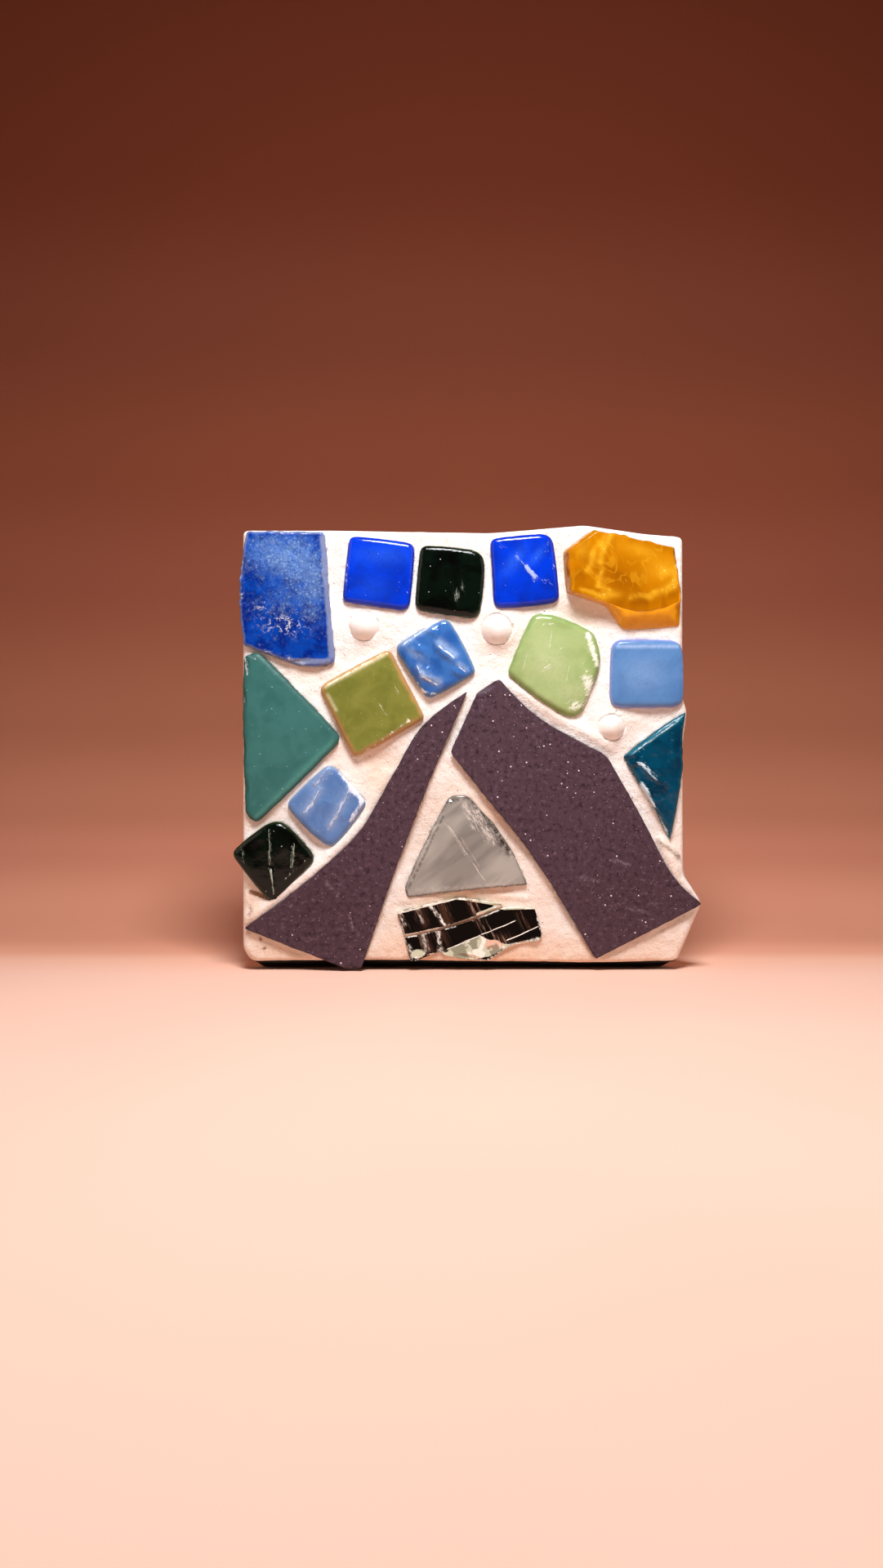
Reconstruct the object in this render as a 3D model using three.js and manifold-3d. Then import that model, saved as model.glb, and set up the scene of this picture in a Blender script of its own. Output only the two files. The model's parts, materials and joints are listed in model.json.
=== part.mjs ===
// A small hand-made mosaic panel: a square block of white grout that stands on its lower edge, with a tent
// under a blue sky laid in its face. The tent is two plum porcelain pieces round a grey glass triangle and a
// cracked strip of mirror. The sky is glass tiles, and three half-round white beads are its stars.
//
// Millimetres. +X is to the right and +Z up as one looks at the face, and the face looks along -Y. The origin
// lies on the flat foot that the block stands on, below the middle of the block.
import * as THREE from "three";
import { mergeVertices } from "three/addons/utils/BufferGeometryUtils.js";
import Module from "manifold-3d";

// Driving dimensions
const BLOCK_HALF_WIDTH = 33.6;
const BLOCK_HEIGHT = 67;
const BLOCK_DEPTH = 16; // from the grout's face to the flat back
const FOOT_HALF_LENGTH = 31.5;
const FACE_EDGE_ROUNDING = 1.8;
const FOOT_SETBACK = 3.8; // how far the foot starts behind the grout's face
const BACK_EDGE_ROUNDING = 0.9;
const LIP_LIFT = 1.2; // how far the face's lower edge stands clear of the floor
const TILE_THICKNESS = 4;
const GLASS_PROUD = 1.1; // how far a pressed tile's shoulder stands out of the grout
const SLAB_PROUD = 1.0; // the same for the flat-cut porcelain
const MIRROR_PROUD = 0.5;
const SLAB_ARRIS = 0.12;
const POCKET_CLEARANCE = 0.15;
const CRACK_WIDTH = 0.3; // between the two pieces of mirror
const BEAD_RADII = { left: 2.45, middle: 2.6, right: 2.2 };
const BEAD_PROUD = 1.9;

const GROUT_FACE = -BLOCK_DEPTH / 2;
const BLOCK_BACK = BLOCK_DEPTH / 2;
const BLOCK_MIDDLE = new THREE.Vector2(0, BLOCK_HEIGHT / 2);
const BOW_STEPS = 3; // stretches along a bowed side
const ROUND_STEPS = 3; // stretches round a corner
const BLOCK_SIDE_STEPS = 2;
const BEAD_SIDES = 18;
const DOME_STEPS = 5;
const RELIEF_STEPS = 22; // cells of the face's undulation along each side
const RELIEF_MOST = 0.9; // the highest ridge of grout above its face

// An outline's corner, in X and Z: how far the rounding reaches along both sides, and how far the side that
// follows bows out (a negative bow is hollow).
function corner(x, z, rounding = 0.5, bow = 0) {
  return { at: new THREE.Vector2(x, z), rounding, bow };
}

// Twice the signed area of a closed outline: positive where it runs anticlockwise as the face is looked at.
function doubleArea(points) {
  return points.reduce((sum, p, i) => sum + p.cross(points[(i + 1) % points.length]), 0);
}

// The middle of an outline's area, from the triangles that its sides make with the first point.
function centroid(points) {
  const sum = new THREE.Vector2();
  points.forEach((p, i) => {
    const next = points[(i + 1) % points.length];
    sum.addScaledVector(p.clone().add(next), p.cross(next));
  });
  return sum.divideScalar(3 * doubleArea(points));
}

// The points of a closed outline from its corners: each side is a shallow bow, cut short of its corners, and
// each corner is a quadratic curve between the sides' ends.
function outlineOf(corners, sideSteps = null) {
  const turn = Math.sign(doubleArea(corners.map((c) => c.at)));
  const sides = corners.map((from, i) => {
    const to = corners[(i + 1) % corners.length];
    const along = to.at.clone().sub(from.at);
    const length = along.length();
    const outward = new THREE.Vector2(along.y, -along.x).multiplyScalar(turn / length);
    const place = (t) =>
      from.at.clone().addScaledVector(along, t).addScaledVector(outward, 4 * from.bow * t * (1 - t));
    const steps = sideSteps ?? (from.bow === 0 ? 1 : BOW_STEPS);
    const first = from.rounding / length;
    const last = 1 - to.rounding / length;
    return Array.from({ length: steps + 1 }, (_, k) => place(first + ((last - first) * k) / steps));
  });
  const points = [];
  corners.forEach((c, i) => {
    const before = sides[(i + corners.length - 1) % corners.length].at(-1);
    if (c.rounding > 0) {
      const bend = new THREE.QuadraticBezierCurve(before, c.at, sides[i][0]);
      points.push(...bend.getPoints(ROUND_STEPS).slice(1, -1));
    }
    points.push(...sides[i]);
  });
  return turn > 0 ? points : points.reverse();
}

// The outline moved out by a distance all round.
function widened(points, distance) {
  return points.map((p, i) => {
    const before = points[(i + points.length - 1) % points.length];
    const after = points[(i + 1) % points.length];
    const inward = p.clone().sub(before).normalize();
    const onward = after.clone().sub(p).normalize();
    const normal = new THREE.Vector2(inward.y + onward.y, -inward.x - onward.x).normalize();
    const opening = Math.max(0.6, normal.dot(new THREE.Vector2(inward.y, -inward.x)));
    return p.clone().addScaledVector(normal, distance / opening);
  });
}

// The outline shrunk or grown about a point.
function scaled(points, scale, about = centroid(points)) {
  return points.map((p) => p.clone().sub(about).multiplyScalar(scale).add(about));
}

// The outline shrunk about its middle until its sides have moved in by a distance. Sharp tips move further.
function drawnIn(points, distance) {
  const round = points.reduce((sum, p, i) => sum + p.distanceTo(points[(i + 1) % points.length]), 0);
  const meanReach = Math.abs(doubleArea(points)) / round;
  return scaled(points, 1 - distance / meanReach);
}

// A closed geometry from the same number of points at several depths, from the back to the front, with a fan
// to a middle point at either end.
function loft(levels, frontMiddle = levels.at(-1).y) {
  const count = levels[0].points.length;
  const positions = [];
  const triangles = [];
  levels.forEach(({ points, y }) => points.forEach((p) => positions.push(p.x, y, p.y)));
  for (let level = 0; level + 1 < levels.length; level++) {
    for (let i = 0; i < count; i++) {
      const a = level * count + i;
      const b = level * count + ((i + 1) % count);
      triangles.push(a, b, b + count, a, b + count, a + count);
    }
  }
  const ends = [
    { points: levels[0].points, first: 0, y: levels[0].y, front: false },
    { points: levels.at(-1).points, first: (levels.length - 1) * count, y: frontMiddle, front: true },
  ];
  ends.forEach(({ points, first, y, front }) => {
    const middle = centroid(points);
    const tip = positions.length / 3;
    positions.push(middle.x, y, middle.y);
    for (let i = 0; i < count; i++) {
      const a = first + i;
      const b = first + ((i + 1) % count);
      triangles.push(...(front ? [a, b, tip] : [b, a, tip]));
    }
  });
  const geometry = new THREE.BufferGeometry();
  geometry.setAttribute("position", new THREE.Float32BufferAttribute(positions, 3));
  geometry.setIndex(triangles);
  geometry.computeVertexNormals();
  return geometry;
}

// A pressed or tumbled glass tile: straight sides, a rounded shoulder and a face that swells to its middle.
function pillowTile(outline, top, { shoulder = 0.55, swell = 0.35 }) {
  return loft(
    [
      { points: outline, y: top + TILE_THICKNESS },
      { points: outline, y: top + shoulder },
      { points: drawnIn(outline, 0.3 * shoulder), y: top + 0.3 * shoulder },
      { points: drawnIn(outline, shoulder), y: top },
      { points: scaled(outline, 0.5), y: top - 0.75 * swell },
    ],
    top - swell,
  );
}

// A flat-cut slab: straight sides, a thin arris and a level face.
function flatSlab(outline, top) {
  return loft([
    { points: outline, y: top + TILE_THICKNESS },
    { points: outline, y: top + SLAB_ARRIS },
    { points: drawnIn(outline, SLAB_ARRIS), y: top },
  ]);
}

// Each tile's outline. Four-cornered ones run from the upper left corner to the right and round.
const OUTLINES = {
  speckled_blue_tile: outlineOf([
    corner(-33.0, 66.8, 0.3, 0.05),
    corner(-21.1, 66.7, 0.8, 0.1),
    corner(-20.6, 60.5, 2, -0.1),
    corner(-19.3, 46.6, 1.4, 0.1),
    corner(-24.2, 46.0, 1.2, 0.1),
    corner(-33.5, 49.4, 0.5, 0.3),
    corner(-34.1, 60.1, 2, 0.1),
  ]),
  cobalt_tile_left: outlineOf([
    corner(-17.4, 66.1, 1.1, 0.1),
    corner(-7.4, 64.9, 1.2, 0.15),
    corner(-8.3, 54.6, 1.3, 0.1),
    corner(-18.5, 56.1, 0.8, 0.05),
  ]),
  black_tile_top: outlineOf([
    corner(-6.6, 64.7, 1.1, 0.15),
    corner(3.2, 63.7, 2.2, 0.3),
    corner(2.3, 53.4, 1.3, 0.1),
    corner(-7.5, 54.8, 1.1, 0.1),
  ]),
  cobalt_tile_right: outlineOf([
    corner(3.8, 65.6, 1.2, 0.1),
    corner(13.4, 66.5, 1.9, 0.1),
    corner(14.6, 56.0, 1.2, 0.25),
    corner(4.4, 55.0, 1.5, -0.15),
  ]),
  rippled_blue_tile: outlineOf([
    corner(-2.5, 53.6, 1.0, 0.3),
    corner(1.9, 45.3, 0.6, 0.15),
    corner(-5.4, 41.2, 0.9, 0.2),
    corner(-10.6, 49.2, 1.0, 0.3),
  ]),
  olive_tile: outlineOf([
    corner(-22.1, 43.1, 0.9, 0.15),
    corner(-11.3, 49.0, 0.9, 0),
    corner(-5.8, 38.4, 0.7, 0.05),
    corner(-16.6, 32.2, 0.7, 0),
  ]),
  pale_green_tile: outlineOf([
    corner(10.4, 54.2, 0.9, 0.05),
    corner(13.4, 54.1, 0.9, 0.2),
    corner(19.8, 51.3, 0.8, 0.1),
    corner(20.9, 47.0, 1.5, 0.2),
    corner(17.4, 38.3, 1.6, 0.1),
    corner(14.8, 39.0, 0.9, 0.35),
    corner(6.5, 45.2, 0.7, 0.1),
  ]),
  sky_blue_tile: outlineOf([
    corner(22.4, 50.3, 1.6, 0.1),
    corner(33.1, 50.2, 1.9, 0.15),
    corner(33.3, 40.1, 1.6, 0.15),
    corner(22.1, 40.0, 1.6, 0.15),
  ]),
  teal_triangle_tile: outlineOf([
    corner(-33.5, 47.8, 0.5, 0.05),
    corner(-31.1, 48.5, 0.9, 0.15),
    corner(-18.3, 35.3, 1.6, 0.15),
    corner(-31.4, 22.4, 0.9, 0),
    corner(-33.1, 23.4, 1.0, 0.25),
  ]),
  periwinkle_tile: outlineOf([
    corner(-20.3, 31.7, 1.4, 0.1),
    corner(-14.6, 25.6, 0.8, 0.15),
    corner(-19.9, 18.4, 1.4, 0.55),
    corner(-27.1, 25.3, 1.0, 0.15),
  ]),
  black_tile_left: outlineOf([
    corner(-28.1, 23.4, 2.0, 0.25),
    corner(-22.3, 17.1, 1.2, 0.1),
    corner(-29.2, 10.2, 1.3, 0.15),
    corner(-35.4, 17.9, 1.0, 0.35),
  ]),
  petrol_wedge: outlineOf([
    corner(24.1, 32.6, 0.3, 0.35),
    corner(33.8, 39.5, 0.3, -0.35),
    corner(33.3, 31.5, 1.5, 0.15),
    corner(31.3, 19.6, 0.4, -0.1),
    corner(28.6, 25.0, 1.2, 0.1),
  ]),
  tent_flap_left: outlineOf([
    corner(0.6, 42.5, 0.2, 0.35),
    corner(-7.2, 36.4, 2, -0.05),
    corner(-15.7, 21.1, 3, -0.55),
    corner(-33.4, 6.5, 0.3, 0),
    corner(-17.2, 0.1, 1.0, 0),
    corner(-15.5, 0.5, 0.3, -0.6),
  ]),
  tent_flap_right: outlineOf([
    corner(-2.1, 33.2, 0.2, 0),
    corner(1.9, 42.1, 0.2, 0.1),
    corner(5.4, 44.4, 0.3, -0.45),
    corner(13.2, 37.2, 2, 0),
    corner(21.7, 32.7, 1.0, 0.2),
    corner(31.2, 15.0, 2, -0.25),
    corner(36.2, 10.2, 0.3, 0.05),
    corner(19.9, 1.8, 0.2, -0.3),
    corner(8.6, 20.0, 1.5, 0.1),
  ]),
  grey_glass_triangle: outlineOf([
    corner(-2.2, 26.6, 0.8, 0.05),
    corner(0.4, 26.7, 0.9, 1.1),
    corner(9.8, 13.0, 0.3, -0.15),
    corner(-8.6, 11.1, 0.4, 0),
    corner(-9.1, 12.6, 0.4, 0.27),
  ]),
  mirror_strip_upper: outlineOf([
    corner(-10.2, 9.0, 0.1, 0.1),
    corner(-0.6, 11.2, 0.8, 0.1),
    corner(6.2, 10.1, 0.2, 0.6),
    corner(-9.1, 5.4, 0.1, 0),
  ]),
  mirror_strip_lower: outlineOf([
    corner(-9.05, 5.4 - CRACK_WIDTH, 0.1, -0.6),
    corner(6.4, 10.1 - CRACK_WIDTH, 0.2, 0),
    corner(10.7, 9.75, 0.2, 0),
    corner(12.0, 5.3, 0.3, 0),
    corner(11.2, 4.4, 0.3, 0),
    corner(7.2, 3.9, 0.8, 0),
    corner(3.6, 1.5, 0.4, 0.1),
    corner(-2.8, 2.2, 0.3, 0),
    corner(-3.7, 3.0, 0.4, 0),
    corner(-8.1, 1.3, 0.3, 0),
  ]),
};

// The amber chunk's outline at the grout, and the face that its breaks leave: the same corners drawn in, far
// on the lower side, where a broad shell-shaped break slopes back to the grout.
const AMBER_BASE = outlineOf([
  corner(15.1, 63.7, 0.4, 0.1),
  corner(19.7, 67.1, 0.4, 0),
  corner(25.0, 66.0, 0.6, 0),
  corner(31.9, 64.4, 0.3, 0.1),
  corner(32.9, 56.6, 0.4, 0),
  corner(32.7, 52.4, 0.3, 0.1),
  corner(24.2, 51.9, 0.4, 0.1),
  corner(21.6, 55.6, 1.0, 0),
  corner(15.6, 57.5, 0.6, 0.1),
]);
const AMBER_FACE = outlineOf([
  corner(15.9, 63.3, 0.4, 0.1),
  corner(19.9, 66.4, 0.4, 0),
  corner(24.9, 65.3, 0.6, 0),
  corner(31.2, 63.8, 0.3, 0.1),
  corner(32.3, 59.0, 0.4, 0),
  corner(32.4, 55.9, 0.3, 0.9),
  corner(24.0, 55.2, 0.4, 0.1),
  corner(21.8, 56.2, 1.0, 0),
  corner(16.2, 58.0, 0.6, 0.1),
]);
const AMBER_PROUD = 2.6;
const AMBER_BACK = GROUT_FACE + TILE_THICKNESS - 1;

// Where each bead sits, in X and Z
const BEADS = {
  white_bead_left: { at: new THREE.Vector2(-15.2, 52.4), radius: BEAD_RADII.left },
  white_bead_middle: { at: new THREE.Vector2(5.0, 51.9), radius: BEAD_RADII.middle },
  white_bead_right: { at: new THREE.Vector2(22.4, 37.0), radius: BEAD_RADII.right },
};

// Ridges that the trowel left beside the tent, as a line in X and Z with a height and a width.
const RIDGES = [
  { line: [[-33.0, 7.6], [-21.5, 16.4], [-15.6, 22.6], [-11.6, 29.8]], height: 0.8, width: 1.0 },
  { line: [[7.2, 43.4], [13.8, 38.8], [22.2, 34.2]], height: 0.6, width: 1.1 },
  { line: [[30.2, 19.4], [33.2, 13.6], [36.0, 10.8]], height: 0.8, width: 1.0 },
  { line: [[-9.0, 10.6], [-1.0, 11.9], [9.4, 11.0]], height: 0.3, width: 0.6 },
];

// Hollows in the grout: the scoop below the cobalt and amber glass, and the floor inside the tent.
const HOLLOWS = [
  { at: [17.6, 53.4], reach: [3.0, 2.2], depth: 0.9 },
  { at: [1.0, 14.0], reach: [14.0, 12.0], depth: 0.5 },
  { at: [-12.5, 30.0], reach: [3.5, 4.0], depth: 0.4 },
];

// How far a point is from a line of straight stretches.
function distanceToLine(point, line) {
  const ends = line.map(([x, z]) => new THREE.Vector3(x, 0, z));
  const here = new THREE.Vector3(point.x, 0, point.y);
  const nearest = new THREE.Vector3();
  return Math.min(
    ...ends.slice(1).map((end, i) => {
      new THREE.Line3(ends[i], end).closestPointToPoint(here, true, nearest);
      return nearest.distanceTo(here);
    }),
  );
}

// How far the grout stands out of its face at a point: slow trowel waves, ridges and hollows.
function groutRelief(point) {
  const slow = Math.sin(0.33 * point.x + 1.1) * Math.cos(0.29 * point.y);
  const waves = 0.12 * slow + 0.08 * Math.sin(0.5 * point.y);
  const ridges = RIDGES.map(
    ({ line, height, width }) => height * Math.exp(-((distanceToLine(point, line) / width) ** 2)),
  );
  const hollows = HOLLOWS.map(
    ({ at, reach, depth }) =>
      depth * Math.exp(-(((point.x - at[0]) / reach[0]) ** 2) - ((point.y - at[1]) / reach[1]) ** 2),
  );
  const raised = waves + Math.max(...ridges) - hollows.reduce((sum, d) => sum + d, 0);
  return Math.min(raised, RELIEF_MOST);
}

// The block's corners. At its face the outline is trowelled by hand: wavy, with its lower edge clear of the
// floor and a lip that carries the right-hand tent piece's tip. Behind the face it is a plain square with a
// straight foot.
const SIDE = BLOCK_HALF_WIDTH;
const TOP = BLOCK_HEIGHT;
const BLOCK_CORNERS = [
  { face: [-33.8, 67.2], body: [-SIDE, TOP], rounding: 1.2, bow: 0 },
  { face: [-20.0, 67.3], body: [-20.0, TOP], rounding: 2, bow: -0.15 },
  { face: [4.0, 66.8], body: [4.0, TOP], rounding: 2, bow: 0.1 },
  { face: [18.5, 68.2], body: [18.5, TOP], rounding: 2, bow: 0.25 },
  { face: [27.5, 66.7], body: [27.5, TOP], rounding: 1, bow: 0 },
  { face: [33.5, 66.2], body: [SIDE, TOP], rounding: 1.0, bow: 0 },
  { face: [33.5, 41.5], body: [SIDE, 41.5], rounding: 1, bow: 0 },
  { face: [34.3, 39.6], body: [SIDE, 39.6], rounding: 0.5, bow: -0.2 },
  { face: [33.5, 34.0], body: [SIDE, 34.0], rounding: 1, bow: 0 },
  { face: [33.5, 14.5], body: [SIDE, 14.5], rounding: 1.5, bow: 0 },
  { face: [36.5, 10.2], body: [SIDE, 10.2], rounding: 0.5, bow: -0.4 },
  { face: [33.8, 4.0], body: [SIDE, 4.0], rounding: 1, bow: 0 },
  { face: [32.6, LIP_LIFT], body: [FOOT_HALF_LENGTH, 0], rounding: 0.8, bow: 0.2 },
  { face: [0, LIP_LIFT], body: [0, 0], rounding: 1, bow: -0.2 },
  { face: [-32.5, LIP_LIFT], body: [-FOOT_HALF_LENGTH, 0], rounding: 0.8, bow: 0 },
  { face: [-33.8, 3.2], body: [-SIDE, 3.2], rounding: 1, bow: 0.1 },
];

// The block's outline from its face (0) to its body (1).
function blockOutline(share) {
  const blended = BLOCK_CORNERS.map(({ face, body, rounding, bow }) => {
    const [x, z] = [0, 1].map((axis) => THREE.MathUtils.lerp(face[axis], body[axis], share));
    return corner(x, z, rounding, bow * (1 - share));
  });
  return outlineOf(blended, BLOCK_SIDE_STEPS);
}

// The block before its face is worked: the outline carried from the face to the back, its edges rounded.
function roundedBlock() {
  const level = (y, inset, share) => ({
    points: scaled(blockOutline(share), 1 - inset / BLOCK_HALF_WIDTH, BLOCK_MIDDLE),
    y,
  });
  const round = FACE_EDGE_ROUNDING;
  return loft([
    level(BLOCK_BACK, BACK_EDGE_ROUNDING, 1),
    level(BLOCK_BACK - 0.3 * BACK_EDGE_ROUNDING, 0.3 * BACK_EDGE_ROUNDING, 1),
    level(BLOCK_BACK - BACK_EDGE_ROUNDING, 0, 1),
    level(GROUT_FACE + FOOT_SETBACK, 0, 1),
    level(GROUT_FACE + 0.6 * FOOT_SETBACK, 0, 0.6),
    level(GROUT_FACE + 0.25 * FOOT_SETBACK, 0, 0.1),
    level(GROUT_FACE + 0.15 * round, 0.1 * round, 0),
    level(GROUT_FACE - 0.1 * round, 0.35 * round, 0),
    level(GROUT_FACE - RELIEF_MOST, round, 0),
  ]);
}

// A box whose front is the worked face of the grout. Only its front matters: the rounded block cuts the rest.
function workedFace() {
  const reach = BLOCK_HALF_WIDTH + 6;
  const plane = new THREE.BoxGeometry(2 * reach, 2 * BLOCK_DEPTH, 2 * reach, RELIEF_STEPS, 1, RELIEF_STEPS);
  const positions = plane.getAttribute("position");
  for (let i = 0; i < positions.count; i++) {
    const place = new THREE.Vector2(positions.getX(i), positions.getZ(i) + BLOCK_MIDDLE.y);
    const front = positions.getY(i) < 0;
    positions.setXYZ(i, place.x, front ? GROUT_FACE - groutRelief(place) : 2 * BLOCK_DEPTH, place.y);
  }
  return plane;
}

// The hole that a piece is bedded in: its outline with a little clearance, open at the face.
function pocket(outline, floor) {
  const wide = widened(outline, POCKET_CLEARANCE);
  return loft([
    { points: wide, y: floor },
    { points: wide, y: GROUT_FACE - 4 },
  ]);
}

const wasm = await Module();
wasm.setup();

// A geometry as a solid that can be joined and cut.
function solidOf(geometry) {
  const bare = geometry.clone();
  bare.deleteAttribute("normal");
  bare.deleteAttribute("uv");
  const merged = mergeVertices(bare, 1e-4);
  const vertProperties = merged.getAttribute("position").array;
  const triVerts = new Uint32Array(merged.getIndex().array);
  return new wasm.Manifold(new wasm.Mesh({ numProp: 3, vertProperties, triVerts }));
}

// A solid as a geometry.
function geometryOf(solid) {
  const { vertProperties, triVerts } = solid.getMesh();
  const geometry = new THREE.BufferGeometry();
  geometry.setAttribute("position", new THREE.BufferAttribute(vertProperties, 3));
  geometry.setIndex(new THREE.BufferAttribute(triVerts, 1));
  geometry.computeVertexNormals();
  return geometry;
}

// The block of grout: the rounded block, its worked face and a pocket for each piece.
function groutBlock(pockets) {
  const whole = solidOf(roundedBlock()).intersect(solidOf(workedFace()));
  return geometryOf(pockets.reduce((block, hole) => block.subtract(solidOf(hole)), whole));
}

// A half-round bead: a short drum under a dome, turned about its own axis.
function beadProfile(radius) {
  const drum = TILE_THICKNESS - BEAD_PROUD;
  const dome = Array.from({ length: DOME_STEPS }, (_, i) => {
    const angle = (i / DOME_STEPS) * (Math.PI / 2);
    return new THREE.Vector2(radius * Math.cos(angle), drum + BEAD_PROUD * Math.sin(angle));
  });
  const pole = new THREE.Vector2(0, TILE_THICKNESS);
  return [new THREE.Vector2(0, 0), new THREE.Vector2(radius, 0), ...dome, pole];
}

function material(color, roughness, metalness = 0) {
  return new THREE.MeshStandardMaterial({ color, roughness, metalness });
}

const MATERIALS = {
  grout: material(0xf3ece2, 0.9),
  speckledBlue: material(0x2450a8, 0.35),
  cobalt: material(0x0638c8, 0.12),
  black: material(0x060805, 0.15),
  amber: material(0xc98209, 0.1),
  denim: material(0x3f78b4, 0.15),
  olive: material(0x8a8a34, 0.2),
  paleGreen: material(0xaec677, 0.5),
  sky: material(0x6b96c9, 0.3),
  teal: material(0x3d726c, 0.55),
  periwinkle: material(0x5f80b0, 0.3),
  petrol: material(0x054764, 0.12),
  plum: material(0x5c3a44, 0.75),
  greyGlass: material(0x9b8c82, 0.25),
  mirror: material(0x1b1715, 0.05, 0.9),
  white: material(0xf7f4ee, 0.15),
};

// The bedded pieces that are one outline carried from back to front: which shape each has, how far it stands
// out of the grout, and how soft its shoulder and its face are where they differ from the usual.
const BEDDED = [
  { name: "speckled_blue_tile", finish: MATERIALS.speckledBlue, proud: 0.9, shoulder: 0.35, swell: 0.2 },
  { name: "cobalt_tile_left", finish: MATERIALS.cobalt },
  { name: "black_tile_top", finish: MATERIALS.black },
  { name: "cobalt_tile_right", finish: MATERIALS.cobalt },
  { name: "rippled_blue_tile", finish: MATERIALS.denim, shoulder: 0.45 },
  { name: "olive_tile", finish: MATERIALS.olive },
  { name: "pale_green_tile", finish: MATERIALS.paleGreen, swell: 0.6 },
  { name: "sky_blue_tile", finish: MATERIALS.sky },
  { name: "teal_triangle_tile", finish: MATERIALS.teal, shoulder: 0.3, swell: 0.15 },
  { name: "periwinkle_tile", finish: MATERIALS.periwinkle },
  { name: "black_tile_left", finish: MATERIALS.black, proud: 1.3 },
  { name: "petrol_wedge", finish: MATERIALS.petrol, shoulder: 0.2, swell: 0.3 },
  { name: "tent_flap_left", finish: MATERIALS.plum, slab: true, proud: SLAB_PROUD },
  { name: "tent_flap_right", finish: MATERIALS.plum, slab: true, proud: SLAB_PROUD },
  { name: "grey_glass_triangle", finish: MATERIALS.greyGlass, slab: true, proud: 0.6 },
  { name: "mirror_strip_upper", finish: MATERIALS.mirror, slab: true, proud: MIRROR_PROUD },
  { name: "mirror_strip_lower", finish: MATERIALS.mirror, slab: true, proud: MIRROR_PROUD },
];

const panel = new THREE.Group();
const pockets = [];

// Adds a named piece to the panel.
function addPiece(name, geometry, finish) {
  const mesh = new THREE.Mesh(geometry, finish);
  mesh.name = name;
  panel.add(mesh);
  return mesh;
}

BEDDED.forEach(({ name, finish, slab = false, proud = GLASS_PROUD, ...softness }) => {
  const top = GROUT_FACE - proud;
  addPiece(name, (slab ? flatSlab : pillowTile)(OUTLINES[name], top, softness), finish);
  pockets.push(pocket(OUTLINES[name], top + TILE_THICKNESS));
});

const amberTop = GROUT_FACE - AMBER_PROUD;
addPiece(
  "amber_glass_piece",
  loft(
    [
      { points: AMBER_BASE, y: AMBER_BACK },
      { points: AMBER_BASE, y: GROUT_FACE - 0.5 },
      { points: AMBER_FACE, y: amberTop + 0.5 },
      { points: scaled(AMBER_FACE, 0.6), y: amberTop + 0.1 },
    ],
    amberTop,
  ),
  MATERIALS.amber,
);
pockets.push(pocket(AMBER_BASE, AMBER_BACK));

Object.entries(BEADS).forEach(([name, { at, radius }]) => {
  const floor = GROUT_FACE - BEAD_PROUD + TILE_THICKNESS;
  const bead = addPiece(name, new THREE.LatheGeometry(beadProfile(radius), BEAD_SIDES), MATERIALS.white);
  bead.rotation.x = Math.PI;
  bead.position.set(at.x, floor, at.y);
  const rim = new THREE.EllipseCurve(at.x, at.y, radius, radius).getPoints(BEAD_SIDES).slice(0, -1);
  pockets.push(pocket(rim, floor));
});

addPiece("grout_block", groutBlock(pockets), MATERIALS.grout);

export default panel;
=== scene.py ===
"""The look of a small mosaic panel: pieces of glass and porcelain bedded in white grout.

Lengths inside the classes are millimetres in the panel's own frame: X runs to the right, Z up and -Y
towards the viewer. Meshes are written in metres. Every surface is worked out with numpy, either as rows
of a closed outline (tiles, beads) or as a lattice stretched over the block's face (grout), and every
finish is a node material that reads Object coordinates or an attribute of its own piece.
"""

from __future__ import annotations

import json
import logging
import math
from dataclasses import dataclass
from enum import Enum
from typing import Callable, Sequence

import bpy
import numpy as np
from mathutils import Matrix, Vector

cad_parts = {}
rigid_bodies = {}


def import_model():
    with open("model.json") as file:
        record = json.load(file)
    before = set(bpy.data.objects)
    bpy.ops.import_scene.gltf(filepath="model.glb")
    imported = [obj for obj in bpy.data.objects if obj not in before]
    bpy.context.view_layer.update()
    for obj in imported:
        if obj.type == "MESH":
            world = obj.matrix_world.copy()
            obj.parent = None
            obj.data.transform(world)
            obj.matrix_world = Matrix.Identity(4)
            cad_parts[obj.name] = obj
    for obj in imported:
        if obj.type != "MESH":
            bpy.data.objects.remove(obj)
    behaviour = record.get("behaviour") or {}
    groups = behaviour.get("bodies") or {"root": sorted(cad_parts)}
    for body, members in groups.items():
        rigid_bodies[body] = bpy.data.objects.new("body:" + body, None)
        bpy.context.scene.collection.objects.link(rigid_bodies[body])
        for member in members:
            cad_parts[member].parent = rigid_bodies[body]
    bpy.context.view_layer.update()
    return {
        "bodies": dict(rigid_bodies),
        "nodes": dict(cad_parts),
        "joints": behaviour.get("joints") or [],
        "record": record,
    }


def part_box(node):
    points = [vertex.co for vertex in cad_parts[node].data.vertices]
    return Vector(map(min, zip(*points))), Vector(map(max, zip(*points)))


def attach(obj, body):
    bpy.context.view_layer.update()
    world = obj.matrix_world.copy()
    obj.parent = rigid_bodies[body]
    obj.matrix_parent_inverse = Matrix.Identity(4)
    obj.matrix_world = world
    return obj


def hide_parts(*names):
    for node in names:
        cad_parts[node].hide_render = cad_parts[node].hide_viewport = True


LOG = logging.getLogger("mosaic")
MM = 0.001
GROUT_FACE = -8.0
BLOCK_BACK = 8.0
BLOCK_HALF_WIDTH = 33.6
BLOCK_MIDDLE = 33.5j  # as x + iz
RANDOM_CELLS = 256  # a Grain repeats after this many cells
POINTS_AT_A_TIME = 8192
POLE_GAP = 0.35  # how far the last row stops short of its middle, in rows
FACE_SETBACK = 0.06  # how far a tile's face stays behind its solid's front
RELIEF_FADE = 0.3  # how far in from the edge the relief reaches its full height
FULL_CROWN = 3.2  # squared spread at which the face has dropped by its whole crown

Array = np.ndarray
Point = tuple[float, float]
Field = Callable[[Array, Array], Array]


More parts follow.
